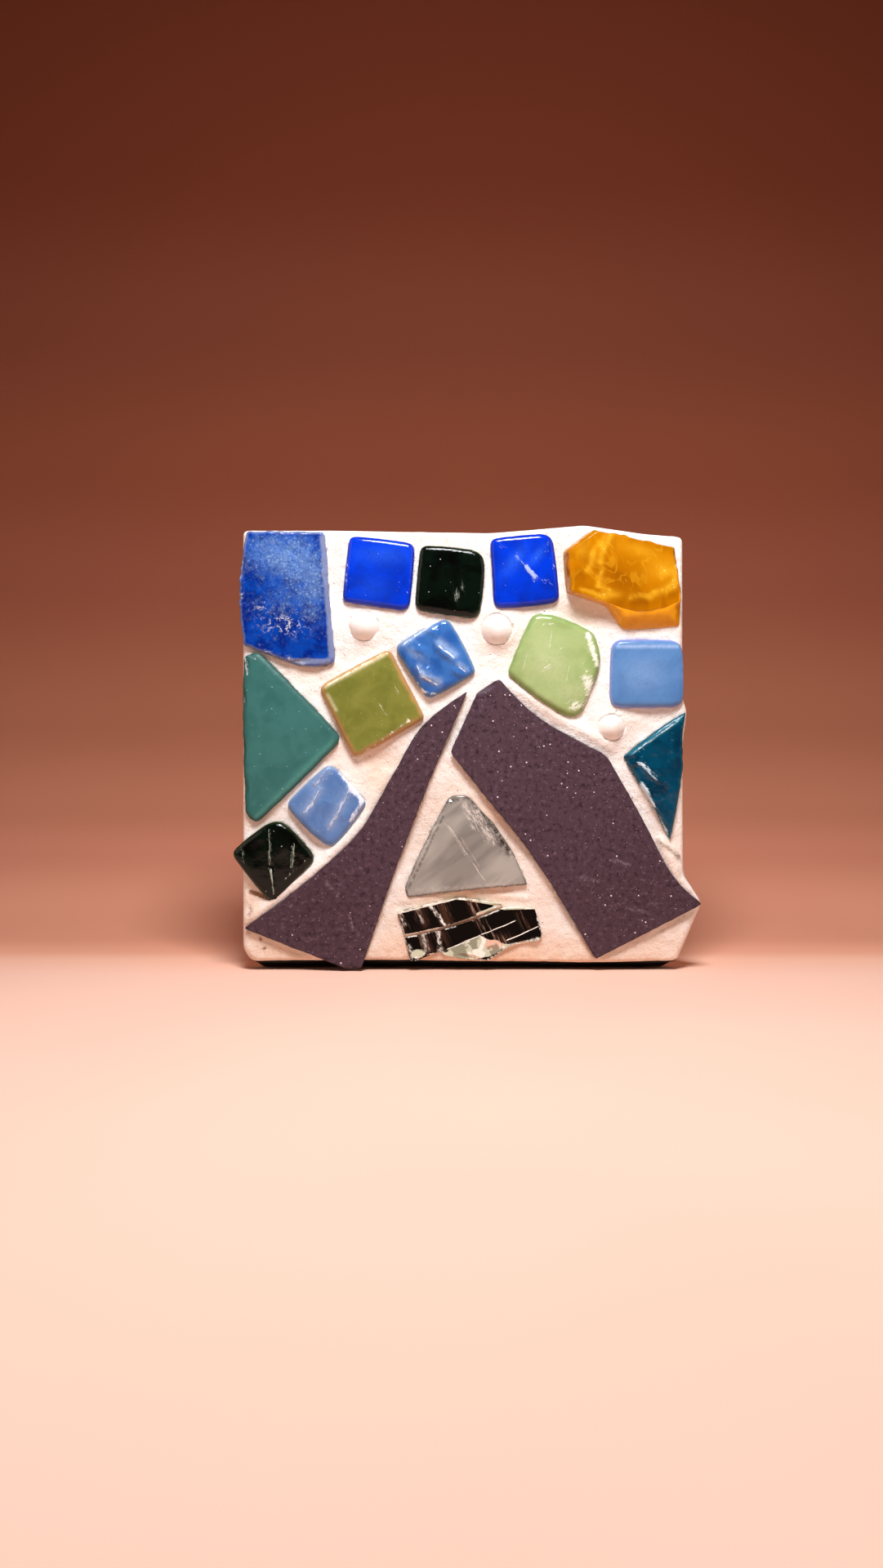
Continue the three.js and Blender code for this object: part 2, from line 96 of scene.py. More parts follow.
# ---------------------------------------------------------------------------------------------------
# Fields on the face's plane: each takes arrays of x and z in millimetres and returns an array
# ---------------------------------------------------------------------------------------------------


@dataclass(frozen=True)
class Grain:
    """Smooth random unevenness: random values on a square lattice, blended by 3t^2 - 2t^3 between them."""

    cell: float
    seed: int
    octaves: int = 1
    height: float = 1.0

    def __call__(self, x: Array, z: Array) -> Array:
        """Values up to about the height, each octave with half the cell and half the height of the last."""
        total = np.zeros_like(x, dtype=float)
        for octave in range(self.octaves):
            values = np.random.default_rng(self.seed + 101 * octave).uniform(
                -1, 1, (RANDOM_CELLS, RANDOM_CELLS),
            )
            u, v = (x / self.cell * 2**octave, z / self.cell * 2**octave)
            i, j = (np.floor(u).astype(int), np.floor(v).astype(int))
            s, t = (u - i, v - j)
            s, t = (s * s * (3 - 2 * s), t * t * (3 - 2 * t))
            i0, i1, j0, j1 = (c % RANDOM_CELLS for c in (i, i + 1, j, j + 1))
            low = values[i0, j0] * (1 - s) + values[i1, j0] * s
            high = values[i0, j1] * (1 - s) + values[i1, j1] * s
            total += (low * (1 - t) + high * t) * 0.5**octave
        return self.height * total


@dataclass(frozen=True)
class Ridge:
    """A soft ridge along a straight line: height * exp(-(distance to the line / width)^2)."""

    start: Point
    end: Point
    width: float
    height: float = 1.0

    def __call__(self, x: Array, z: Array) -> Array:
        """The ridge's height at each point, or a groove's depth where its height is negative."""
        (ax, az), (bx, bz) = self.start, self.end
        along = np.clip(
            ((x - ax) * (bx - ax) + (z - az) * (bz - az)) / ((bx - ax) ** 2 + (bz - az) ** 2 + 1e-9), 0, 1,
        )
        squared = (x - ax - along * (bx - ax)) ** 2 + (z - az - along * (bz - az)) ** 2
        return self.height * np.exp(-squared / self.width**2)


def in_oval(x: Array, z: Array, at: Point, reach: Point, turn: float) -> tuple[Array, Array]:
    """Distances from a middle over two reaches, along two crossing axes that are turned by some degrees."""
    c, s = (math.cos(math.radians(turn)), math.sin(math.radians(turn)))
    dx, dz = (x - at[0], z - at[1])
    return (dx * c + dz * s) / reach[0], (dz * c - dx * s) / reach[1]


@dataclass(frozen=True)
class Mound:
    """A soft oval mound: height * exp(-(u^2 + v^2)), u and v being the distances over its two reaches."""

    at: Point
    reach: Point
    height: float = 1.0
    turn: float = 0.0

    def __call__(self, x: Array, z: Array) -> Array:
        """The mound's height at each point, or a hollow's depth where its height is negative."""
        u, v = in_oval(x, z, self.at, self.reach, self.turn)
        return self.height * np.exp(-(u**2) - v**2)


@dataclass(frozen=True)
class Flake:
    """A shell-shaped chip: depth * (1 - r^2) inside its oval, with a crisp edge and shallow rings."""

    at: Point
    reach: Point
    depth: float
    turn: float = 0.0

    def __call__(self, x: Array, z: Array) -> Array:
        """The chip's depth at each point as a negative height."""
        r = np.hypot(*in_oval(x, z, self.at, self.reach, self.turn))
        return -self.depth * np.clip(1 - r**2, 0, None) * (1 + 0.12 * np.sin(14 * r))


@dataclass(frozen=True)
class Sum:
    """The sum of several fields."""

    fields: tuple[Field, ...]

    def __call__(self, x: Array, z: Array) -> Array:
        """All the fields added up."""
        return np.sum([f(x, z) for f in self.fields], axis=0) if self.fields else np.zeros_like(x)


@dataclass(frozen=True)
class Strayed:
    """A field read at places that stray by up to a reach, so that its straight lines wander and fray."""

    field: Field
    reach: float = 0.14
    cell: float = 0.7

    def __call__(self, x: Array, z: Array) -> Array:
        """The field at (x + reach * a, z + reach * b), a and b being two random fields."""
        a, b = (Grain(self.cell, seed, 3)(x, z) for seed in (81, 82))
        return self.field(x + self.reach * a, z + self.reach * b)


def marks(*fields: Field) -> Sum:
    """Several ridges, mounds or chips as one field."""
    return Sum(tuple(fields))


def lines(width: float, height: float, *ends: tuple[float, float, float, float]) -> Strayed:
    """Frayed ridges of one width and height.

    Args:
        width: Half width of each ridge in millimetres.
        height: Height of each ridge, or depth where it is negative.
        ends: For each ridge its start and end, as x, z, x, z.

    Returns:
        The ridges as one field.
    """
    return Strayed(Sum(tuple(Ridge((a, b), (c, d), width, height) for a, b, c, d in ends)))


# ---------------------------------------------------------------------------------------------------
# Outlines
# ---------------------------------------------------------------------------------------------------


@dataclass(frozen=True)
class Outline:
    """A closed line in the face's plane, anticlockwise for the viewer, as complex numbers x + iz."""

    points: Array

    @classmethod
    def through(cls, corners: Array, count: int, softness: float) -> "Outline":
        """A closed line through corners, evenly stepped and softened.

        The points are spaced evenly along the straight sides, and each then becomes the Gaussian-weighted
        mean of its neighbours along the line, worked out on the line's Fourier series.

        Args:
            corners: Corners in order, as complex numbers.
            count: Number of points of the result.
            softness: Spread of the Gaussian along the line, in millimetres.

        Returns:
            The softened outline, anticlockwise.
        """
        if np.sum(corners.real * np.roll(corners.imag, -1) - np.roll(corners.real, -1) * corners.imag) < 0:
            corners = corners[::-1]
        closed = np.append(corners, corners[0])
        length = np.concatenate([[0], np.cumsum(np.abs(np.diff(closed)))])
        places = np.linspace(0, length[-1], count, endpoint=False)
        even = np.interp(places, length, closed.real) + 1j * np.interp(places, length, closed.imag)
        return cls(softened(even, softness, length[-1] / count))

    @classmethod
    def of_node(cls, node: bpy.types.Object, count: int, softness: float) -> "Outline":
        """A solid's outline at its back: the edges of its rearmost triangles that no two of them share."""
        places = triangle_places(node) / MM
        back = places[(places[:, :, 1] > places[:, :, 1].max() - 0.01).all(axis=1)]
        corners = np.round(back[:, :, 0] + 1j * back[:, :, 2], 3)
        edges = np.sort(np.stack([corners, np.roll(corners, -1, axis=1)], axis=-1).reshape(-1, 2), axis=1)
        rim, times = np.unique(edges, axis=0, return_counts=True)
        return cls.through(in_order(np.unique(rim[times == 1])), count, softness)

    @property
    def middle(self) -> complex:
        """The centroid of the area inside."""
        a, b = self.points, np.roll(self.points, -1)
        cross = a.real * b.imag - b.real * a.imag
        return complex(np.sum((a + b) * cross) / (3 * np.sum(cross)))

    @property
    def outward(self) -> Array:
        """Unit normals that point out of the area."""
        along = np.roll(self.points, -1) - np.roll(self.points, 1)
        return -1j * along / np.abs(along)

    def worn(self, depth: float, cell: float, seed: int) -> "Outline":
        """The outline with its edge nibbled inwards by up to depth, in random nicks about one cell long."""
        nicks = Grain(cell, seed, 3)(self.points.real, self.points.imag)
        return Outline(self.points - self.outward * depth * np.clip(0.5 + 0.5 * nicks, 0, 1))

    def inside(self, x: Array, z: Array) -> Array:
        """How far each point lies inside the outline, negative outside.

        The distance is the least over all sides, and the sign comes from how many sides a level line
        from the point crosses.

        Args:
            x: X of the points.
            z: Z of the points.

        Returns:
            The signed distances in millimetres, with the shape of x.
        """
        flat = (x + 1j * z).ravel()
        a, b = self.points, np.roll(self.points, -1)
        found = np.empty(flat.shape)
        for first in range(0, flat.size, POINTS_AT_A_TIME):
            p = flat[first : first + POINTS_AT_A_TIME, None]
            along = np.clip(((p - a) * np.conj(b - a)).real / (np.abs(b - a) ** 2 + 1e-12), 0, 1)
            near = np.abs(p - a - along * (b - a)).min(axis=1)
            spans = (a.imag > p.imag) != (b.imag > p.imag)
            rise = np.where(np.abs(b.imag - a.imag) < 1e-12, 1e-12, b.imag - a.imag)
            crosses = spans & (p.real < a.real + (p.imag - a.imag) * (b.real - a.real) / rise)
            found[first : first + len(p)] = np.where(crosses.sum(axis=1) % 2 == 1, near, -near)
        return found.reshape(x.shape)


def softened(line: Array, spread: float, step: float = 1.0) -> Array:
    """A closed line of evenly stepped points after a Gaussian of some spread has run along it."""
    waves = np.fft.fftfreq(line.size, d=step)
    return np.fft.ifft(np.fft.fft(line) * np.exp(-2 * (math.pi * spread * waves) ** 2))


def in_order(corners: Array) -> Array:
    """Corners sorted by their direction from the middle of the area that they enclose."""
    middle = corners.mean()
    for _ in range(3):
        corners = corners[np.argsort(np.angle(corners - middle))]
        middle = Outline(corners).middle
    return corners


def triangle_places(node: bpy.types.Object) -> Array:
    """Corner positions of a solid's triangles in metres, shaped (triangles, 3 corners, 3)."""
    places = np.zeros(3 * len(node.data.vertices))
    node.data.vertices.foreach_get("co", places)
    corners = np.zeros(len(node.data.loops), int)
    node.data.loops.foreach_get("vertex_index", corners)
    return places.reshape(-1, 3)[corners].reshape(-1, 3, 3)


# ---------------------------------------------------------------------------------------------------
# Meshes
# ---------------------------------------------------------------------------------------------------


def write_piece(
    name: str, places: Array, quads: Array, fans: Array, masks: dict[str, Array],
) -> bpy.types.Object:
    """Makes a smooth mesh object at the origin.

    Args:
        name: Object's name.
        places: Vertex positions in millimetres, one row each.
        quads: Four-sided faces, as rows of vertex numbers.
        fans: Three-sided faces, as rows of vertex numbers.
        masks: Point attributes by name.

    Returns:
        The object, linked to the scene.
    """
    mesh = bpy.data.meshes.new(name)
    mesh.from_pydata((places * MM).tolist(), [], quads.tolist() + fans.tolist())
    mesh.shade_smooth()
    for key, values in masks.items():
        attribute = mesh.attributes.new(key, "FLOAT", "POINT")
        attribute.data.foreach_set("value", np.asarray(values, np.float32).ravel())
    piece = bpy.data.objects.new(name, mesh)
    bpy.context.scene.collection.objects.link(piece)
    return piece


def quads_between(rows: Array) -> Array:
    """Faces that join each row of vertex numbers to the next one, round closed rows."""
    after = np.roll(rows, -1, axis=1)
    return np.stack([rows[:-1], after[:-1], after[1:], rows[1:]], axis=-1).reshape(-1, 4)


def closing_in(rows: int, power: float) -> Array:
    """Shares from nearly 1 down to nearly 0, for rows that close in on a middle."""
    return 1 - (np.arange(1, rows + 1) / (rows + POLE_GAP)) ** power


def shell(name: str, rows: Array, masks: dict[str, Array]) -> bpy.types.Object:
    """A closed body from rows of points that run from the middle of its back to the middle of its front.

    Each row is closed and anticlockwise for the viewer, neighbours are joined by four-sided faces, and the
    first and the last row are closed by fans about their mean point, so every face points outwards.

    Args:
        name: Object's name.
        rows: Points in millimetres, shaped (rows, points in a row, 3).
        masks: Values at each point by name, shaped (rows, points in a row).

    Returns:
        The body as an object.
    """
    height, around = rows.shape[:2]
    numbers = np.arange(height * around).reshape(height, around)
    poles = (height * around, height * around + 1)
    first, last = (numbers[0], numbers[-1])
    back = np.stack([np.full(around, poles[0]), np.roll(first, -1), first], axis=-1)
    front = np.stack([last, np.roll(last, -1), np.full(around, poles[1])], axis=-1)
    places = np.vstack([rows.reshape(-1, 3), rows[0].mean(axis=0), rows[-1].mean(axis=0)])
    values = {k: np.concatenate([v.ravel(), [v[0].mean(), v[-1].mean()]]) for k, v in masks.items()}
    return write_piece(name, places, quads_between(numbers), np.vstack([back, front]), values)


# ---------------------------------------------------------------------------------------------------
# Shader nodes
# ---------------------------------------------------------------------------------------------------

Tint = tuple[float, float, float]


def paint(shade: str) -> Tint:
    """A colour from six hexadecimal digits, each channel c made linear as ((c + 0.055) / 1.055)^2.4."""
    parts = [int(shade[i : i + 2], 16) / 255 for i in (0, 2, 4)]
    return tuple(c / 12.92 if c <= 0.04045 else ((c + 0.055) / 1.055) ** 2.4 for c in parts)


class Value:
    """A number or colour socket that adds Math nodes when it is used in an expression."""

    def __init__(self, graph: "Graph", socket: bpy.types.NodeSocket) -> None:
        """Wraps an output socket of the graph."""
        self.graph = graph
        self.socket = socket

    def math(self, operation: str, other: "Value | float") -> "Value":
        """The result of a Math node whose inputs are this value and another."""
        return self.graph.node("ShaderNodeMath", {"operation": operation}, {0: self, 1: other})

    def __add__(self, other: "Value | float") -> "Value":
        """self + other."""
        return self.math("ADD", other)

    def __sub__(self, other: "Value | float") -> "Value":
        """self - other."""
        return self.math("SUBTRACT", other)

    def __mul__(self, other: "Value | float") -> "Value":
        """self * other."""
        return self.math("MULTIPLY", other)

    def __pow__(self, power: float) -> "Value":
        """self to a power."""
        return self.math("POWER", power)

    def most(self, other: "Value | float") -> "Value":
        """The greater of the two."""
        return self.math("MAXIMUM", other)

    def between(self, low: float, high: float, start: float = 0.0, end: float = 1.0) -> "Value":
        """A smooth step from start to end as the value goes from low to high."""
        settings = {"interpolation_type": "SMOOTHSTEP"}
        sockets = {"Value": self, "From Min": low, "From Max": high, "To Min": start, "To Max": end}
        return self.graph.node("ShaderNodeMapRange", settings, sockets)


class Graph:
    """A material's node tree, with the few kinds of node that the finishes are built from."""

    def __init__(self, name: str) -> None:
        """Starts an empty material whose place is Object coordinates in millimetres."""
        self.material = bpy.data.materials.new(name)
        self.material.use_nodes = True
        self.tree = self.material.node_tree
        self.tree.nodes.clear()
        found = self.node("ShaderNodeTexCoord", output="Object")
        self.place = self.node("ShaderNodeMapping", {}, {"Vector": found, "Scale": (1000, 1000, 1000)})

    def node(
        self,
        kind: str,
        settings: dict[str, object] | None = None,
        sockets: dict[str | int, object] | None = None,
        output: str | int = 0,
    ) -> Value:
        """Adds one node.

        Args:
            kind: The node's type.
            settings: Properties, set first.
            sockets: Values or links for its inputs, by name or number.
            output: The output that is returned.

        Returns:
            That output, ready for expressions.
        """
        made = self.tree.nodes.new(kind)
        for key, value in (settings or {}).items():
            setattr(made, key, value)
        for key, value in (sockets or {}).items():
            if isinstance(value, Value):
                self.tree.links.new(value.socket, made.inputs[key])
            elif isinstance(value, tuple) and len(value) == 3 and made.inputs[key].type == "RGBA":
                made.inputs[key].default_value = (*value, 1.0)
            else:
                made.inputs[key].default_value = value
        return Value(self, made.outputs[output]) if len(made.outputs) else Value(self, None)

    def mask(self, name: str) -> Value:
        """A point attribute of the piece."""
        return self.node("ShaderNodeAttribute", {"attribute_name": name}, output="Fac")

    def stretched(self, scale: tuple[float, float, float], turn: float = 0.0) -> Value:
        """The place, turned about the viewer's line by some degrees and then scaled along each axis."""
        turned = self.node(
            "ShaderNodeMapping", {}, {"Vector": self.place, "Rotation": (0, math.radians(turn), 0)},
        )
        return self.node("ShaderNodeMapping", {}, {"Vector": turned, "Scale": scale})

    def cloud(
        self, size: float, detail: float = 3.0, rough: float = 0.5, place: Value | None = None,
        swirl: float = 0.0,
    ) -> Value:
        """Noise from 0 to 1 with patches of about size millimetres."""
        sockets = {
            "Vector": place or self.place, "Scale": 1 / size, "Detail": detail, "Roughness": rough,
            "Distortion": swirl,
        }
        return self.node("ShaderNodeTexNoise", {}, sockets)

    def cells(self, size: float, place: Value | None = None) -> Value:
        """The distance to the nearest of scattered points that are about size millimetres apart."""
        return self.node(
            "ShaderNodeTexVoronoi", {}, {"Vector": place or self.place, "Scale": 1 / size}, "Distance",
        )

    def crack(self, start: Point, end: Point, width: float, bend: float = 0.3) -> Value:
        """A thin line that wavers by up to half its bend.

        The place is turned so that the line lies along Z. The result is a smooth step down from 1 as the
        square of the distance across grows to the square of the width, held between the line's ends.

        Args:
            start: X and Z of its start in millimetres.
            end: X and Z of its end.
            width: Half its width.
            bend: How far it wavers.

        Returns:
            1 on the line and 0 beside it.
        """
        (ax, az), (bx, bz) = start, end
        turn = math.atan2(bx - ax, bz - az)
        sockets = {"Vector": self.place, "Location": (ax, 0, az), "Rotation": (0, turn, 0)}
        parts = {"Vector": self.node("ShaderNodeMapping", {"vector_type": "TEXTURE"}, sockets)}
        across = self.node("ShaderNodeSeparateXYZ", {}, parts, "X") + (self.cloud(1.6, 3, 0.6) - 0.5) * bend
        along = self.node("ShaderNodeSeparateXYZ", {}, parts, "Z")
        length = math.hypot(bx - ax, bz - az)
        held = along.between(-0.1, 0.3) * along.between(length - 0.4, length + 0.1, 1, 0)
        return (across * across).between(0.2 * width**2, width**2, 1, 0) * held

    def mix(self, share: Value | float, under: Value | Tint, over: Value | Tint) -> Value:
        """Colour under with colour over laid on it by a share."""
        return self.node("ShaderNodeMix", {"data_type": "RGBA"}, {0: share, 6: under, 7: over}, 2)

    def bump(self, height: Value, depth: float, under: Value | None = None) -> Value:
        """A bump whose full height is depth millimetres, on top of another where one is given."""
        sockets = {"Height": height, "Distance": depth * MM, "Strength": 1.0}
        return self.node("ShaderNodeBump", {}, sockets | ({"Normal": under} if under else {}))

    def surface(
        self, colour: Value, rough: Value | float, normal: Value, **constants: float | Tint,
    ) -> bpy.types.Material:
        """Joins everything in one Principled shader.

        Args:
            colour: Base colour.
            rough: Roughness.
            normal: Bumped normal.
            constants: Plain values for other sockets, with _ for a space in the name.

        Returns:
            The finished material.
        """
        sockets = {"Base Color": colour, "Roughness": rough, "Normal": normal}
        sockets |= {key.replace("_", " "): value for key, value in constants.items()}
        shader = self.node("ShaderNodeBsdfPrincipled", {}, sockets)
        self.node("ShaderNodeOutputMaterial", {}, {"Surface": shader})
        return self.material


# ---------------------------------------------------------------------------------------------------
# Finishes. The masks are "rim", the distance in from the outline in millimetres, "scuff", where the surface
# is rubbed or cracked white, "tone", where a second colour lies, a painted highlight on some tiles, painted
# shade on the flaps and painted light on the amber's facet, and "stain", where a third does, with painted
# shade in the amber


@dataclass(frozen=True)
class Glass:
    """Opaque glass: a colour deepened in soft clouds, a rim painted with the light that leaks through the
    thin edge, specks, scuffs and, on some tiles, painted highlights.
    """

    name: str
    body: Tint
    deep: Tint
    rim: Tint
    rim_width: float = 0.7
    rim_share: float = 0.8
    tone: Tint = (1.0, 1.0, 1.0)
    scuff: Tint = (0.75, 0.8, 0.85)
    cloud: float = 3.5
    rough: float = 0.07
    speck: Tint = (0.8, 0.85, 0.9)
    speck_share: float = 0.0
    grain: float = 0.006
    hackle: float = 0.0
    # thin lines in the scuff colour: scratches, and on the rippled, olive and petrol tiles painted highlights
    scratch_and_highlight_lines: tuple[tuple[Point, Point, float], ...] = ()

    def material(self) -> bpy.types.Material:
        """The finish as a node material."""
        g = Graph(self.name)
        clouds = g.cloud(self.cloud, 3, 0.55, swirl=0.6)
        dust = g.cloud(0.35, 2, 0.6)
        # Painted light: the rim colour stands for light leaking through the thin edge, and for shade along it
        # where the rim colour is darker than the body.
        leak = (g.mask("rim") + (g.cloud(1.6) - 0.5) * self.rim_width).between(
            0.05, self.rim_width, self.rim_share, 0,
        )
        colour = g.mix(clouds.between(0.35, 0.68), self.body, self.deep)
        colour = g.mix(g.mask("tone") * dust.between(0.25, 0.6, 0.55, 1), colour, self.tone)
        colour = g.mix(leak, colour, self.rim)
        points = g.cells(0.9).between(0.06, 0.13, 1, 0) * g.cloud(1.3).between(0.5, 0.56)
        colour = g.mix(points * self.speck_share, colour, self.speck)
        ragged = g.cloud(0.7, 6, 0.85, g.stretched((1.0, 1.0, 0.3), self.hackle))
        rubbed = (g.mask("scuff") * 0.3 + ragged).between(0.71, 0.85)
        broken = g.cloud(0.8, 5, 0.8).between(0.4, 0.58, 0.1, 0.95)
        # Thin bright lines: scratches, and on some tiles painted highlight lines.
        for start, end, width in self.scratch_and_highlight_lines:
            rubbed = rubbed.most(g.crack(start, end, width, 0.5) * broken)
        colour = g.mix(rubbed, colour, self.scuff)
        rough = g.cloud(2.2, 4, 0.6).between(0.3, 0.75, self.rough, self.rough + 0.06) + rubbed * 0.35
        normal = g.bump(g.cloud(1.4, 2, 0.4), 5 * self.grain)
        normal = g.bump(g.cloud(0.16, 3, 0.6) + points, self.grain, normal)
        normal = g.bump(rubbed, 0.02, normal)
        return g.surface(colour, rough, normal, IOR=1.5, Specular_IOR_Level=0.3)


@dataclass(frozen=True)
class SpeckledGlass:
    """Glass with a crust of pale powder over deep blue, thick where "tone" is 1, a greyish clear band and a
    greyish rim painted with the light that leaks through the edge.
    """

    name: str = "speckled glass"
    deep: Tint = paint("00217c")
    body: Tint = paint("053ea2")
    powder: Tint = paint("88addb")
    rim: Tint = paint("7f8cb0")

    def material(self) -> bpy.types.Material:
        """The finish as a node material."""
        g = Graph(self.name)
        cover = g.mask("tone")
        grit = g.cloud(0.6, 5, 0.7)
        blotch = g.cloud(2.4, 4, 0.6, swirl=0.3)
        colour = g.mix(blotch.between(0.4, 0.6), self.body, self.deep)
        haze = (cover * 0.4 + g.cloud(1.1, 5, 0.75) * 0.9).between(0.5, 0.95, 0, 0.7)
        colour = g.mix(haze, colour, paint("4f78bd"))
        crust = (grit * 0.5 + blotch * 0.5 + cover * 0.2).between(0.55, 0.78, 0, 0.75)
        grains = g.cells(0.5).between(0.1, 0.5, 1, 0.25) * grit.between(0.3, 0.6, 0.6, 1)
        colour = g.mix(crust * grains, colour, self.powder)
        fine = (g.cloud(0.3, 4, 0.75) + cover * 0.1).between(0.62, 0.72)
        colour = g.mix(fine * 0.3, colour, self.powder)
        pits = g.cells(0.8).between(0.1, 0.24, 1, 0) * g.cloud(1.1).between(0.45, 0.55)
        colour = g.mix(pits * 0.6, colour, self.deep)
        band = (g.mask("stain") + (g.cloud(1.2, 4) - 0.5) * 0.5).between(0.3, 0.8, 0, 0.85)
        # Painted light: a greyish rim where light leaks through the thin edge.
        leak = (g.mask("rim") + (g.cloud(1.8) - 0.5) * 0.4).between(0.05, 0.55, 0.7, 0)
        colour = g.mix(band.most(leak), colour, self.rim)
        vein = ((g.cloud(1.2, 5, 0.7) - 0.5) ** 2).between(0.0, 0.0008, 1, 0)
        vein = vein * g.cloud(0.9).between(0.44, 0.58)
        crackle = g.mask("scuff") * vein
        colour = g.mix(crackle, colour, paint("dfe8f6"))
        rough = crust.between(0, 1, 0.16, 0.42) + crackle * 0.2
        normal = g.bump(blotch, 0.06)
        normal = g.bump(grit + crackle, 0.03, normal)
        return g.surface(colour, rough, normal, IOR=1.48, Specular_IOR_Level=0.3)


@dataclass(frozen=True)
class AmberGlass:
    """Honey-coloured glass with drawn-out swirls of yellow and brown and painted shade in the brown; "tone"
    is the ground facet, brightened as painted light.
    """

    name: str = "amber glass"
    honey: Tint = paint("c07800")
    brown: Tint = paint("985600")
    yellow: Tint = paint("e2a820")
    # bright orange of the painted light on the ground facet
    facet: Tint = paint("ffb008")

    def material(self) -> bpy.types.Material:
        """The finish as a node material."""
        g = Graph(self.name)
        drawn = g.cloud(5.5, 1.5, 0.4, g.stretched((1.0, 1.0, 0.6), 30), swirl=1.6)
        threads = g.cloud(3.6, 2, 0.45, g.stretched((1.0, 1.0, 0.45), 24), swirl=2.2)
        # The brown at "stain" includes painted shade along the top of the facet.
        depth = drawn.between(0.42, 0.64, 0, 0.45) + g.mask("stain") * 0.7
        colour = g.mix(depth, self.honey, self.brown)
        vein = ((threads - 0.52) ** 2).between(0.0, 0.0018, 1, 0)
        colour = g.mix(vein * g.cloud(3.0, 1).between(0.42, 0.58) * 0.3, colour, self.yellow)
        colour = g.mix(g.mask("scuff") * threads.between(0.3, 0.6, 0.6, 0.9), colour, self.yellow)
        sparks = (g.cloud(0.4, 4, 0.7) + g.mask("scuff") * 0.1).between(0.68, 0.78)
        colour = g.mix(sparks * 0.7, colour, paint("ffe07a"))
        # Painted light: the ground facet is painted bright orange.
        colour = g.mix(g.mask("tone") * g.cloud(1.2).between(0.25, 0.6, 0.75, 1), colour, self.facet)
        edge = g.mask("rim").between(0.0, 0.5, 0.3, 0)
        colour = g.mix(edge, colour, self.brown)
        rough = g.cloud(2.0, 4, 0.6).between(0.3, 0.7, 0.08, 0.17)
        normal = g.bump(drawn, 0.1)
        normal = g.bump(g.cloud(0.3, 3, 0.6), 0.006, normal)
        return g.surface(colour, rough, normal, IOR=1.52, Specular_IOR_Level=0.35)


@dataclass(frozen=True)
class Porcelain:
    """Matt body-coloured porcelain full of flecks and glints, with painted shade and pale dashes where "tone"
    is 1.
    """

    name: str = "plum porcelain"
    body: Tint = paint("4a3540")
    light: Tint = paint("6a5160")
    dark: Tint = paint("2a1b25")
    # deep plum of the painted shade over the lower part of each flap
    plum: Tint = paint("3c2630")
    glint: Tint = paint("b9aab4")

    def material(self) -> bpy.types.Material:
        """The finish as a node material."""
        g = Graph(self.name)
        cover = g.mask("tone")
        blotch = g.cloud(0.75, 5, 0.72)
        wide = g.cloud(6.0, 2, 0.5)
        colour = g.mix((wide * 0.45).between(0.2, 1.0), self.body, self.light)
        colour = g.mix(blotch.between(0.54, 0.66, 0, 0.6), colour, self.light)
        # Painted shade: the lower part of each flap is darkened towards plum.
        colour = g.mix(cover * 0.45, colour, self.plum)
        dashes = g.cloud(0.75, 4, 0.7, g.stretched((0.45, 1.0, 1.0)))
        colour = g.mix(cover * dashes.between(0.55, 0.66) * 0.55, colour, paint("7c6572"))
        colour = g.mix(blotch.between(0.38, 0.47, 0.85, 0), colour, self.dark)
        flecks = g.cells(0.5).between(0.09, 0.17, 1, 0) * g.cloud(0.6).between(0.5, 0.58)
        colour = g.mix(flecks * 0.75, colour, self.glint)
        dots = g.cells(1.3).between(0.06, 0.12, 1, 0) * g.cloud(1.3).between(0.48, 0.54)
        colour = g.mix(dots, colour, paint("e9dde4"))
        spots = g.cells(
            1.1, place=g.stretched((1.0, 1.0, 1.4), 70),
        ).between(0.1, 0.2, 1, 0) * g.cloud(0.9).between(0.47, 0.55)
        colour = g.mix(spots * 0.7, colour, self.dark)
        worn = g.mask("rim").between(0.0, 0.16, 0.75, 0) * g.cloud(0.6, 3, 0.7).between(0.35, 0.6)
        colour = g.mix(worn, colour, self.dark)
        colour = g.mix(g.mask("scuff") * g.cloud(0.3, 3).between(0.35, 0.6), colour, paint("8c7a86"))
        rough = blotch.between(0.3, 0.7, 0.42, 0.62) - flecks * 0.2
        normal = g.bump(g.cloud(0.22, 4, 0.7), 0.02)
        normal = g.bump(blotch - flecks, 0.02, normal)
        return g.surface(colour, rough, normal, IOR=1.46, Specular_IOR_Level=0.3)


